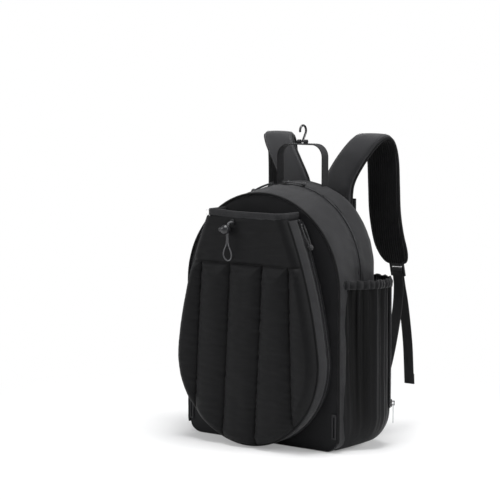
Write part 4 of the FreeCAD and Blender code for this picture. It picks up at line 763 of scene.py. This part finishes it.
def bottle_pocket(name, side, cloth):
    """One pocket; side is 1 on the right and -1 on the left."""
    rows, shades = [], []
    heights = np.concatenate([0.0035 + 0.0545 * (1 - np.cos(np.linspace(0, math.pi / 2, 26))),
                              np.linspace(0.0615, RIM_LOW + 0.001, 90)])
    for height in heights:
        rise = np.clip((height - 0.0035) / 0.0545, 0, 1)
        radius = 0.016 + (CUP_RADIUS - 0.0012 - 0.016) * math.sqrt(1 - (1 - rise) ** 2)
        line = cup_line(radius)
        normal = outward(line, closed=False)
        share = np.linspace(0, 1, len(line))
        spots = np.stack([line[:, 0], line[:, 1], np.full(len(line), height)], 1)
        lift = folds(share, height) + 0.0009 * crumple(spots * (1, 1, 0.4), 0.02, 31)
        # Painted shade and light: the colour is darkened in fold hollows and lightened on fold
        # ridges.
        shades.append(np.clip(0.95 + 150 * (lift + 0.0020), 0.10, 1.5))
        spots[:, :2] += normal * lift[:, None]
        spots[:, 2] += 0.022 * share ** 2 * np.clip(1 - height / 0.12, 0, 1)
        spots[:, 0] *= side
        rows.append(spots)

    def cut(middle):
        across = middle[:, 0] * side - CUP_X
        along = middle[:, 1] - CUP_Y
        beside = across * -math.sin(SLIT_ANGLE) + along * math.cos(SLIT_ANGLE)
        ahead = across * math.cos(SLIT_ANGLE) + along * math.sin(SLIT_ANGLE)
        return ~((np.abs(beside) < SLIT_HALF - 0.0012) & (middle[:,
                                                                 2] > SLIT_LOW) & (ahead > 0.02))

    pocket = skin_mesh(name, rows, cloth, keep=cut, flip=side < 0, shade=shades)
    wall = pocket.modifiers.new("cloth_wall", "SOLIDIFY")
    wall.thickness = 0.0016
    wall.offset = -1
    return pocket


def rim_band(name, side, cloth):
    """Elastic rim of one pocket, gathered into short even puckers."""
    rows = []
    for step in np.linspace(0, 1, 13):
        height = RIM_LOW + (RIM_TOP - RIM_LOW) * step
        line = cup_line(CUP_RADIUS - 0.0006, 601)
        normal = outward(line, closed=False)
        share = np.linspace(0, 1, len(line))
        pucker = 0.0026 * np.abs(np.sin(math.pi * (20 * share + 0.4 * np.sin(14 * share))))
        spots = np.stack([line[:, 0], line[:, 1], np.full(len(line), height)], 1)
        lift = folds(share, RIM_LOW) * 0.25 + pucker * (0.5 + 0.5 * math.sin(math.pi * step))
        lift = lift + 0.0016 * math.sin(math.pi * step)
        spots[:, :2] += normal * lift[:, None]
        spots[:, 2] += 0.0012 * step * np.cos(60 * share)
        spots[:, 0] *= side
        rows.append(spots)

    def cut(middle):
        beside = ((middle[:, 0] * side - CUP_X) * -math.sin(SLIT_ANGLE)
                  + (middle[:, 1] - CUP_Y) * math.cos(SLIT_ANGLE))
        return ~((np.abs(beside) < SLIT_HALF - 0.0005) & (middle[:, 0] * side > CUP_X))

    band = skin_mesh(name, rows, cloth, keep=cut, flip=side < 0)
    wall = band.modifiers.new("elastic_wall", "SOLIDIFY")
    wall.thickness = 0.0022
    wall.offset = -1
    return band


# The pocket cloth's colour carries the painted fold shade and light.
pocket_cloth = plain_weave("pocket_nylon", (0.0062, 0.0062, 0.0068), rough=0.5, sheen=0.05,
                           spots=0.2,
                           gloss=0.16, shaded=True)
elastic_cloth = plain_weave("rim_elastic", (0.0095, 0.0095, 0.0104), thread=0.0016, depth=0.5,
                            rough=0.75)
for side, label in ((1, "right"), (-1, "left")):
    settle(bottle_pocket(f"bottle_pocket_{label}_cloth", side, pocket_cloth), "pack",
           "shell_fabric",
           f"bottle_pocket_{label}")
    settle(rim_band(f"rim_elastic_{label}", side, elastic_cloth), "pack", "elastic")
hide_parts("bottle_rim_elastics")
slit_lines = []
for side in (1, -1):
    for edge in (-1, 1):
        ahead = np.array([math.cos(SLIT_ANGLE), math.sin(SLIT_ANGLE)]) * CUP_RADIUS
        beside = np.array([-math.sin(SLIT_ANGLE), math.cos(SLIT_ANGLE)]) * edge * 0.0040
        tall = np.linspace(SLIT_LOW + 0.001, RIM_LOW - 0.001, 60)
        spots = np.stack([np.full(60, side * (CUP_X + ahead[0] + beside[0])),
                          np.full(60, CUP_Y + ahead[1] + beside[1]), tall], 1)
        slit_lines.append((spots, (side * math.cos(SLIT_ANGLE), math.sin(SLIT_ANGLE), 0)))
settle(chain("bottle_zip_teeth", slit_lines, (0.0020, 0.0014, 0.0022, 0.0022), coil_nylon),
       "pack", "coil")


# ------------------------------------------------------------------ back panel
# Foam-filled back: a broad panel, two upright mesh pads and a lumbar pad, each sewn down round
# its edge so it swells between its seams.
def stuffed(name, outline, near, far, cloth, cap=0.006, voxel=0.005):
    """Foam piece swollen by pressure from a slightly small block, then smoothed."""
    outline = np.asarray(outline)
    low = [(across, near, tall) for across, tall in outline]
    high = [(across, far, tall) for across, tall in outline]
    count = len(outline)
    faces = [list(range(count)), list(range(2 * count - 1, count - 1, -1))]
    faces += [[(index + 1) % count, index, index + count, (index + 1) % count + count]
              for index in range(count)]
    mesh = bpy.data.meshes.new(name)
    mesh.from_pydata(low + high, [], faces)
    pad = bpy.data.objects.new(name, mesh)
    scene.collection.objects.link(pad)
    even_out = pad.modifiers.new("even_mesh", "REMESH")
    even_out.mode = "VOXEL"
    even_out.voxel_size = voxel
    plain = bpy.data.meshes.new_from_object(
        pad.evaluated_get(bpy.context.evaluated_depsgraph_get()))
    pad.modifiers.clear()
    pad.data = plain
    start = np.array([spot.co[:] for spot in plain.vertices])
    swell = pad.modifiers.new("foam_pressure", "CLOTH")
    swell.settings.use_pressure = True
    swell.settings.uniform_pressure_force = 4
    swell.settings.effector_weights.gravity = 0
    swell.point_cache.frame_start = 1
    swell.point_cache.frame_end = 20
    for step in range(1, 21):
        scene.frame_set(step)
    full = bpy.data.meshes.new_from_object(
        pad.evaluated_get(bpy.context.evaluated_depsgraph_get()))
    moved = np.array([spot.co[:] for spot in full.vertices]) - start
    pad.modifiers.clear()
    scene.frame_set(1)
    far_moved = np.linalg.norm(moved, axis=1, keepdims=True)
    start = start + moved * np.minimum(1, cap / np.maximum(far_moved, 1e-9))
    start[:, 1] = np.maximum(start[:, 1], near)
    plain.vertices.foreach_set("co", start.astype(np.float32).ravel())
    finer = pad.modifiers.new("smooth_foam", "SUBSURF")
    finer.levels = finer.render_levels = 1
    smooth = bpy.data.meshes.new_from_object(
        pad.evaluated_get(bpy.context.evaluated_depsgraph_get()))
    pad.modifiers.clear()
    pad.data = smooth
    smooth.shade_smooth()
    smooth.materials.clear()
    smooth.materials.append(cloth)
    return pad


def air_mesh(name, colour, cell=0.0035, ribs=0.0):
    """Spacer mesh: open round cells in the face, painted near-black as the shade inside them, with
    upright ribs where it is knitted so.
    """
    mesh_cloth = bpy.data.materials.new(name)
    mesh_cloth.use_nodes = True
    nodes, links = mesh_cloth.node_tree.nodes, mesh_cloth.node_tree.links
    skin = nodes["Principled BSDF"]
    where = nodes.new("ShaderNodeTexCoord")
    cells = nodes.new("ShaderNodeTexVoronoi")
    cells.inputs["Scale"].default_value = 1 / cell
    cells.inputs["Randomness"].default_value = 0.25
    links.new(where.outputs["Object"], cells.inputs["Vector"])
    # Painted shade: the cell centres are coloured near-black for the shade inside the open holes.
    shade = nodes.new("ShaderNodeValToRGB")
    shade.color_ramp.elements[0].color = (0.001, 0.001, 0.001, 1)
    shade.color_ramp.elements[0].position = 0.22
    shade.color_ramp.elements[1].color = (*colour, 1)
    shade.color_ramp.elements[1].position = 0.42
    links.new(cells.outputs["Distance"], shade.inputs["Fac"])
    links.new(shade.outputs["Color"], skin.inputs["Base Color"])
    height = cells.outputs["Distance"]
    if ribs:
        bands = nodes.new("ShaderNodeTexWave")
        bands.bands_direction = "X"
        bands.inputs["Scale"].default_value = 0.314 / ribs
        links.new(where.outputs["Object"], bands.inputs["Vector"])
        both = nodes.new("ShaderNodeMath")
        both.operation = "MULTIPLY_ADD"
        both.inputs[1].default_value = 2.5
        links.new(bands.outputs["Fac"], both.inputs[0])
        links.new(height, both.inputs[2])
        height = both.outputs[0]
    bump = nodes.new("ShaderNodeBump")
    bump.inputs["Strength"].default_value = 0.6
    bump.inputs["Distance"].default_value = 0.0008
    links.new(height, bump.inputs["Height"])
    links.new(bump.outputs["Normal"], skin.inputs["Normal"])
    skin.inputs["Roughness"].default_value = 0.8
    skin.inputs["Specular IOR Level"].default_value = 0.12
    skin.inputs["Sheen Weight"].default_value = 0.04
    return mesh_cloth


spacer_mesh = air_mesh("spacer_mesh", (0.011, 0.011, 0.012))
strap_knit = air_mesh("ribbed_strap_mesh", (0.006, 0.006, 0.0065), cell=0.0022, ribs=0.0045)


def rounded_box(low_x, high_x, low_z, high_z, corner=0.018):
    turn = np.linspace(0, math.pi / 2, 7)
    spots = []
    for across, tall, start in ((high_x - corner, high_z - corner, 0),
                                (low_x + corner, high_z - corner, 1),
                                (low_x + corner, low_z + corner, 2),
                                (high_x - corner, low_z + corner, 3)):
        spots += [(across + corner * math.cos(a + start * math.pi / 2),
                   tall + corner * math.sin(a + start * math.pi / 2)) for a in turn]
    return spots


pad_line = even(arch_line(0.108, 0.305, 0.004, 120, foot=0.040), 90, closed=True)
panel = settle(stuffed("back_panel_foam", pad_line, 0.1500, 0.1580, dark_cloth, cap=0.004),
               "pack", "mesh", "back_panel")
for label, sign in (("right", 1), ("left", -1)):
    edges = sorted((sign * 0.037, sign * 0.101))
    pad = stuffed(f"back_mesh_pad_{label}", rounded_box(*edges, 0.128, 0.354), 0.1590, 0.1645,
                  spacer_mesh, cap=0.005)
    settle(pad, "pack", "mesh", *(["back_mesh_pads"] if sign > 0 else []))
lumbar = settle(stuffed("lumbar_foam", rounded_box(-0.100, 0.100, 0.042, 0.115), 0.1590, 0.1645,
                        spacer_mesh, cap=0.005), "pack", "mesh", "lumbar_pad")


# ------------------------------------------------------------------ shoulder straps
# Each strap is a curved foam blade: smooth cloth outside, ribbed mesh inside, a binding sewn
# over both edges and a rounded lower end with a sewn patch that carries the ladder lock.
def smooth_way(stations, count):
    """Evenly spaced points of a smooth curve through the stations."""
    spots = np.asarray(stations, dtype=float)
    padded = np.vstack([2 * spots[0] - spots[1], spots, 2 * spots[-1] - spots[-2]])
    line = []
    for first, second, third, fourth in zip(padded, padded[1:], padded[2:], padded[3:]):
        for share in np.linspace(0, 1, 24, endpoint=False):
            line.append(0.5 * (2 * second + (third - first) * share
                               + (2 * first - 5 * second + 4 * third - fourth) * share ** 2
                               + (3 * second - first - 3 * third + fourth) * share ** 3))
    return even(np.array(line + [spots[-1]]), count)


def faces_out(line):
    """Directions square to a strap that keeps its width along X; they point to its inner side."""
    way = np.gradient(line, axis=0)
    flat = np.hypot(way[:, 1], way[:, 2])
    return np.stack([np.zeros(len(line)), way[:, 2] / flat, -way[:, 1] / flat], 1)


def blade(name, line, halves, low, high, crown, cloth, side=1, flip=False):
    """Closed strip of foam between two offsets from its line, crowned on its outer face."""
    inner = faces_out(line)
    rows = []
    across = np.linspace(-1, 1, 29)
    for spot, normal, half in zip(line, inner, halves):
        bow = np.sqrt(np.maximum(1 - np.abs(across) ** 6, 0))
        mid = (low + high) / 2
        outer = mid + (low - mid) * bow - crown * (1 - across ** 2)
        under = (mid + (high - mid) * bow)[1:-1][::-1]
        offsets = np.concatenate([outer, under])
        wide = np.concatenate([across, across[1:-1][::-1]]) * half
        ring = spot + wide[:, None] * np.array([1, 0, 0]) + offsets[:, None] * normal
        ring[:, 0] *= side
        rows.append(ring)
    return skin_mesh(name, rows, cloth, closed=True, ends=True, flip=flip)


TOP, BACK = 0.451, 0.160
STRAP_WAY = [(a / 1000, BACK + b / 1000, TOP - c / 1000) for a, b, c in (
    (44, 6.3, 66), (44, 6.3, 27), (50, 6.5, 2), (68, 9, -29), (86, 15, -55), (98, 25, -71),
    (104, 38, -72), (107, 49, -58), (109, 55, -30), (110, 57, 15), (112, 58, 62),
    (117, 64, 108), (125, 76, 150))]
strap_line = smooth_way(STRAP_WAY, 200)
from_end = np.linalg.norm(np.diff(strap_line, axis=0), axis=1)[::-1].cumsum()[::-1]
from_end = np.append(from_end, 0)
tip = np.clip(from_end / 0.040, 0, 1)
strap_half = 0.0145 + 0.0160 * np.sqrt(1 - (1 - tip) ** 2)
strap_cloth = plain_weave("strap_nylon", (0.0240, 0.0240, 0.0260), rough=0.56, sheen=0.25)
for label, side in (("right", 1), ("left", -1)):
    foam = settle(blade(f"strap_foam_{label}", strap_line, strap_half, -0.0058, 0.0019, 0.0012,
                        strap_cloth, side, flip=side > 0),
                  "pack", "shell_fabric", f"shoulder_strap_{label}")
    under = settle(blade(f"strap_mesh_{label}_knit", strap_line, strap_half - 0.0008, 0.0022,
                         0.0058,
                         0.0, strap_knit, side, flip=side > 0), "pack", "mesh",
                         f"strap_mesh_{label}")
    inner = faces_out(strap_line)
    rim_path = []
    for edge in (-1, 1):
        edge_line = strap_line + (strap_half * edge)[:,
                                                     None] * np.array([1, 0, 0]) + 0.0006 * inner
        edge_line[:, 0] *= side
        rim_path.append(edge_line)
    around = np.vstack([rim_path[0], rim_path[1][::-1]])
    binding = skin_mesh(f"strap_binding_{label}", tube_rows(even(around, 420), 0.0027), edge_cloth,
                        closed=True, ends=True)
    settle(binding, "pack", "binding")
    rows_of_thread = []
    for edge in (-1, 1):
        sewn = strap_line + ((strap_half
                              - 0.0055) * edge)[:, None] * np.array([1, 0, 0]) - 0.0064 * inner
        sewn = sewn[16:-6]
        sewn[:, 0] *= side
        rows_of_thread.append((sewn, -inner[16:-6]))
    for back in (8, 26):
        row = strap_line[-back] + np.linspace(-0.011, 0.011, 20)[:, None] * np.array([1, 0, 0])
        row = row - 0.0069 * inner[-back]
        row[:, 0] *= side
        rows_of_thread.append((row, np.broadcast_to(-inner[-back], row.shape)))
    settle(chain(f"strap_stitches_{label}", rows_of_thread, (0.0036, 0.0026, 0.0007, 0.0006),
                 thread_black), "pack", "binding")

yoke_low, yoke_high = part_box("strap_yoke")
yoke_rows = []
for tall in np.linspace(0, 1, 16):
    across = np.linspace(-1, 1, 60)
    swell = np.sqrt(np.maximum(1 - np.abs(across) ** 8, 0)) * math.sqrt(1 - abs(2 * tall - 1) ** 6)
    middle = (yoke_low[1] + yoke_high[1]) / 2
    front = middle - 0.0011 * swell
    rear = middle + 0.0012 * swell + 0.0005 * np.sin(across * 9)
    wide = (yoke_high[0] - 0.0006) * across
    height = yoke_low[2] + 0.0006 + (yoke_high[2] - yoke_low[2] - 0.0012) * tall
    ring = np.concatenate([np.stack([wide, rear, np.full(60, height)], 1),
                           np.stack([wide, front, np.full(60, height)], 1)[1:-1][::-1]])
    yoke_rows.append(ring)
settle(skin_mesh("yoke_cover", yoke_rows, strap_cloth, closed=True, ends=True, flip=True), "pack",
       "binding", "strap_yoke")
yoke_line = np.array(rounded_box(yoke_low[0] + 0.004, yoke_high[0] - 0.004, yoke_low[2] + 0.004,
                                 yoke_high[2] - 0.004, 0.004))
yoke_line = np.vstack([yoke_line, yoke_line[:1]])
yoke_path = np.stack([yoke_line[:, 0], np.full(len(yoke_line), yoke_high[1] + 0.0003),
                      yoke_line[:, 1]], 1)
settle(chain("yoke_stitches", [(yoke_path, (0, 1, 0))], (0.0034, 0.0024, 0.0008, 0.0008),
             thread_black), "pack", "binding")


# ------------------------------------------------------------------ webbing and handle
# Ribbed nylon webbing: lower webs from the base corners to the ladder locks, their free tails,
# and the grab handle sewn into the top.
def ribbed_webbing(name, colour, rib=0.0016):
    """Flat woven webbing with fine cross ribs."""
    web = plain_weave(name, colour, thread=0.0006, rough=0.6, sheen=0.15, spots=0.2)
    nodes, links = web.node_tree.nodes, web.node_tree.links
    skin = nodes["Principled BSDF"]
    way = nodes.new("ShaderNodeUVMap")
    way.uv_map = "webbing_way"
    ribs = nodes.new("ShaderNodeTexWave")
    ribs.bands_direction = "Y"
    ribs.inputs["Scale"].default_value = 0.314 / rib
    links.new(way.outputs["UV"], ribs.inputs["Vector"])
    raised = nodes.new("ShaderNodeBump")
    raised.inputs["Strength"].default_value = 0.5
    raised.inputs["Distance"].default_value = 0.0004
    links.new(ribs.outputs["Fac"], raised.inputs["Height"])
    links.new(skin.inputs["Normal"].links[0].from_socket, raised.inputs["Normal"])
    links.new(raised.outputs["Normal"], skin.inputs["Normal"])
    return web


def webbing(name, line, sides, width, thick, cloth, flip=False):
    """Flat band along a line; sides are the unit directions of its width."""
    way = np.gradient(line, axis=0)
    way /= np.linalg.norm(way, axis=1, keepdims=True)
    sides = np.broadcast_to(sides, line.shape)
    out = np.cross(way, sides)
    out /= np.linalg.norm(out, axis=1, keepdims=True)
    across = np.array([-1, -0.94, -0.8, -0.4, 0, 0.4, 0.8, 0.94, 1])
    plump = np.array([0.35, 0.8, 1, 0.94, 0.96, 0.94, 1, 0.8, 0.35])
    rows = []
    for spot, side, normal in zip(line, sides, out):
        top = spot + across[:, None] * side * width / 2 + plump[:, None] * normal * thick / 2
        under = spot + across[:, None] * side * width / 2 - plump[:, None] * normal * thick / 2
        rows.append(np.vstack([top, under[::-1]]))
    band = skin_mesh(name, rows, cloth, closed=True, ends=True, flip=flip)
    along = np.concatenate([[0], np.linalg.norm(np.diff(line, axis=0), axis=1).cumsum()])
    count = len(rows[0])
    layer = band.data.uv_layers.new(name="webbing_way")
    corner_to_point = np.zeros(len(band.data.loops), dtype=np.int32)
    band.data.loops.foreach_get("vertex_index", corner_to_point)
    column = corner_to_point % count
    wide = np.concatenate([across, across[::-1]])[column] * width / 2
    layer.data.foreach_set("uv", np.stack([wide, along[corner_to_point // count]], 1)
                           .astype(np.float32).ravel())
    return band


web_cloth = ribbed_webbing("nylon_webbing", (0.013, 0.013, 0.0142))


def mirror_x(line, side):
    return line * (side, 1, 1)


lean = math.atan2(STRAP_WAY[-1][1] - STRAP_WAY[-2][1], STRAP_WAY[-2][2] - STRAP_WAY[-1][2])
lock_down = np.array([0, math.sin(lean), -math.cos(lean)])
lock_out = np.array([0, math.cos(lean), math.sin(lean)])
lock_place = np.array(STRAP_WAY[-1]) + lock_down * 0.0015 - lock_out * 0.0017


def in_lock(down, out):
    return tuple(lock_place + lock_down * down + lock_out * out)


def in_mm(across, out, tall):
    return across / 1000, BACK + out / 1000, tall / 1000


LOWER_WAY = [in_lock(0.0135, -0.0011), in_lock(0.027, -0.0011), in_mm(126, 82, 255),
             in_mm(127, 77, 220), in_mm(129, 60, 170), in_mm(130, 40, 122), in_mm(130, 18, 86),
             in_mm(130, 2, 62), in_mm(130, -5.6, 46), in_mm(130, -6, 26)]
TAIL_WAY = [in_lock(0.0253, 0.0045), in_mm(125.5, 90.5, 257), in_mm(127, 97, 229),
            in_mm(129, 103, 189), in_mm(131, 107, 149), in_mm(132, 109, 111), in_mm(133, 110, 78)]
WEB_WIDTH = 0.020
WEB_THICK = 0.0016
for label, side in (("right", 1), ("left", -1)):
    lower = smooth_way(LOWER_WAY, 120)
    settle(webbing(f"lower_webbing_{label}", mirror_x(lower, side), (1, 0, 0), WEB_WIDTH,
                   WEB_THICK, web_cloth),
           "pack", "webbing", f"lower_web_{label}")
    tail = smooth_way(TAIL_WAY, 120)
    tail_body = f"web_tail_{label}"
    settle(webbing(f"tail_webbing_{label}", mirror_x(tail, side), (1, 0, 0), WEB_WIDTH, WEB_THICK,
                   web_cloth),
           tail_body, "webbing", tail_body)
    fold = tail[-12:] + np.array([0, 0.0017, 0])
    settle(webbing(f"tail_fold_{label}", mirror_x(fold, side), (1, 0, 0), WEB_WIDTH, WEB_THICK,
                   web_cloth),
           tail_body, "webbing")
    fold_rows = []
    for place in (-10, -3):
        row = tail[place] + np.linspace(-0.008, 0.008, 16)[:, None] * np.array([1, 0, 0])
        fold_rows.append((mirror_x(row + np.array([0, 0.0027, 0]), side), (0, 1, 0)))
    settle(chain(f"tail_stitches_{label}", fold_rows, (0.0026, 0.0018, 0.0007, 0.0006),
                 thread_black),
           tail_body, "webbing")

HANDLE_Y, HANDLE_HALF, HANDLE_TOP, HANDLE_BEND = 0.122, 0.048, 0.512, 0.022
turn = np.linspace(0, math.pi / 2, 16)
right_bend = np.stack([HANDLE_HALF - HANDLE_BEND + HANDLE_BEND * np.cos(turn),
                       np.full(16, HANDLE_Y),
                       HANDLE_TOP - HANDLE_BEND + HANDLE_BEND * np.sin(turn)], 1)
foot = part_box("grab_handle")[0][2]
handle_line = np.vstack([[(HANDLE_HALF, HANDLE_Y, foot)], right_bend,
                         (right_bend * (-1, 1, 1))[::-1], [(-HANDLE_HALF, HANDLE_Y, foot)]])
handle_line = even(handle_line, 200)
settle(webbing("handle_webbing", handle_line, (0, 1, 0), WEB_WIDTH, 0.0021, web_cloth), "pack",
       "webbing", "grab_handle")
handle_threads = []
for edge in (-0.0078, 0.0078):
    sewn = handle_line[6:-6] + np.array([0, edge, 0])
    way = np.gradient(sewn, axis=0)
    out = np.stack([way[:, 2], np.zeros(len(sewn)), -way[:, 0]], 1)
    out /= np.linalg.norm(out, axis=1, keepdims=True)
    handle_threads.append((sewn + out * 0.0012, out))
settle(chain("handle_stitches", handle_threads, (0.0034, 0.0024, 0.0007, 0.0006), thread_black),
       "pack", "webbing")
for node in ("hook_ears", "lock_loops", "web_turns", "anchor_wings", "seam_pull_loops"):
    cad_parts[node].data.materials.clear()
    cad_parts[node].data.materials.append(strap_cloth)


# ------------------------------------------------------------------ hard fittings
# Acetal ladder locks, painted zinc sliders, a grey metal tab on each bottle-pocket slider, a
# glossy wire hook, and a sprung toggle on the drawcord.
FITTINGS = (
    (nylon("acetal", (0.012, 0.012, 0.013), 0.42), ("ladder_lock_right", "ladder_lock_left")),
    (nylon("painted_zinc", (0.014, 0.014, 0.015), 0.32, coat=0.3),
     ("main_left_slider", "main_right_slider", "racket_slider", "bottle_slider_right",
      "bottle_slider_left", "drawcord_eyelet")),
    (nylon("grey_metal", (0.34, 0.35, 0.36), 0.34, metal=0.9),
     ("bottle_tab_right", "bottle_tab_left")),
    (nylon("black_enamel", (0.008, 0.008, 0.009), 0.2, coat=0.6), ("fence_hook",)),
    (nylon("toggle_plastic", (0.016, 0.016, 0.018), 0.3), ("cord_toggle", "toggle_button")),
    (nylon("spring_steel", (0.5, 0.5, 0.5), 0.3, metal=1.0), ("toggle_spring",)),
    (nylon("board_plastic", (0.6, 0.6, 0.58), 0.5), ("stiffener_board",)),
    (plain_weave("grey_lining", (0.10, 0.10, 0.105), rough=0.7), ("sleeve_divider",)),
)
for finish, nodes_of in FITTINGS:
    for node in nodes_of:
        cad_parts[node].data.materials.clear()
        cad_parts[node].data.materials.append(finish)


# ------------------------------------------------------------------ cords
# Braided cord pullers doubled through the sliders' eyes and tied in a knot, and a grey elastic
# drawcord that hangs in a loop below its toggle.
def braided(name, colour, size=0.0009):
    cord_cloth = plain_weave(name, colour, thread=size, depth=0.7, rough=0.55, sheen=0.3,
                             spots=0.3)
    return cord_cloth


pull_cloth = braided("puller_braid", (0.030, 0.030, 0.032))
elastic_braid = braided("drawcord_braid", (0.115, 0.115, 0.12))


def cord_curve(name, points, radius, cloth):
    """Round cord whose line is a smooth curve led by its points."""
    curve = bpy.data.curves.new(name, "CURVE")
    curve.dimensions = "3D"
    curve.bevel_depth = radius
    curve.bevel_resolution = 3
    curve.resolution_u = 10
    curve.use_fill_caps = True
    spline = curve.splines.new("NURBS")
    spline.points.add(len(points) - 1)
    for spot, place in zip(spline.points, points):
        spot.co = (*place, 1)
    spline.order_u = 3
    spline.use_endpoint_u = True
    curve.materials.append(cloth)
    piece = bpy.data.objects.new(name, curve)
    scene.collection.objects.link(piece)
    return piece


EYE = (0.25 + 2.6 + 4.6 * 0.42) / 1000
PULLER_ROUTE = ((0, 0.3, 0), (0, 3.2, 0), (4.5, 4.2, 0.1), (11, 4.6, -0.3), (20, 4.4, -1.2),
                (30, 3.4, -2.8), (38, 2.4, -4.6), (42.5, 2.3, -5.8))


def puller_points(centre, radius, depth, angle, droop, flip):
    """Route of one puller, laid along the zip from the eye and back."""
    lean = math.radians(angle)
    ahead = np.array([math.cos(lean), 0, -math.sin(lean)])
    up = np.array([math.sin(lean), 0, math.cos(lean)])
    side = np.array([0, 1.0, 0])
    if flip:
        ahead, side = -ahead, -side
    place = np.array([centre[0], depth, centre[1]]) + up * (radius + EYE)
    there = [place + ahead * a / 1000 + side * b / 1000 + up * c * droop / 1000
             for a, b, c in PULLER_ROUTE]
    back = [place + ahead * a / 1000 - side * b / 1000 + up * c * droop / 1000
            for a, b, c in reversed(PULLER_ROUTE)]
    return there + back


for label, centre, radius, depth, angle, droop, flip, exact in (
    ("main_left", (0, 0.291), 0.152, 0.080, -13.5, 1, True, 0.0944),
    ("main_right", (0, 0.291), 0.152, 0.080, -3.5, 1, False, 0.0944),
    ("racket", (-SIDE_X, SIDE_Z), 0.8, -0.009, 67, -0.3, False, 0.0934),
):
    points = puller_points(centre, radius, depth, angle, droop, flip)
    pull = cord_curve(f"{label}_pull_braid", [tuple(spot) for spot in points], 0.0011, pull_cloth)
    settle(pull, f"{label}_puller", "cord", f"{label}_puller_cord")
    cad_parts[f"{label}_puller_knot"].data.materials.clear()
    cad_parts[f"{label}_puller_knot"].data.materials.append(pull_cloth)
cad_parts["rim_loops"].data.materials.clear()
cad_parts["rim_loops"].data.materials.append(pull_cloth)

DRAWCORD_WAY = ((-22.1, -53.3, 386), (-22.4, -57.2, 386.4), (-24.2, -61.4, 384.4),
                (-25.9, -62.8, 379),
                (-25.9, -62.8, 354), (-27.4, -62.5, 346.5), (-32.5, -61.5, 339),
                (-35.8, -60.2, 330.5), (-33.4, -58.8, 322.5), (-27, -58.2, 319),
                (-20.4, -58.8, 322.5), (-17.6, -60.2, 330.5), (-19.6, -61.5, 339),
                (-22.6, -62.5, 346.5), (-23.6, -62.8, 354), (-23.6, -62.8, 379),
                (-22.2, -61.2, 384.4), (-20, -57.2, 386.4), (-19.9, -53.3, 386))
drawcord = cord_curve("drawcord_elastic",
                      [(a / 1000, b / 1000, c / 1000) for a, b, c in DRAWCORD_WAY],
                      0.001, elastic_braid)
settle(drawcord, "pack", "elastic_cord", "drawcord")
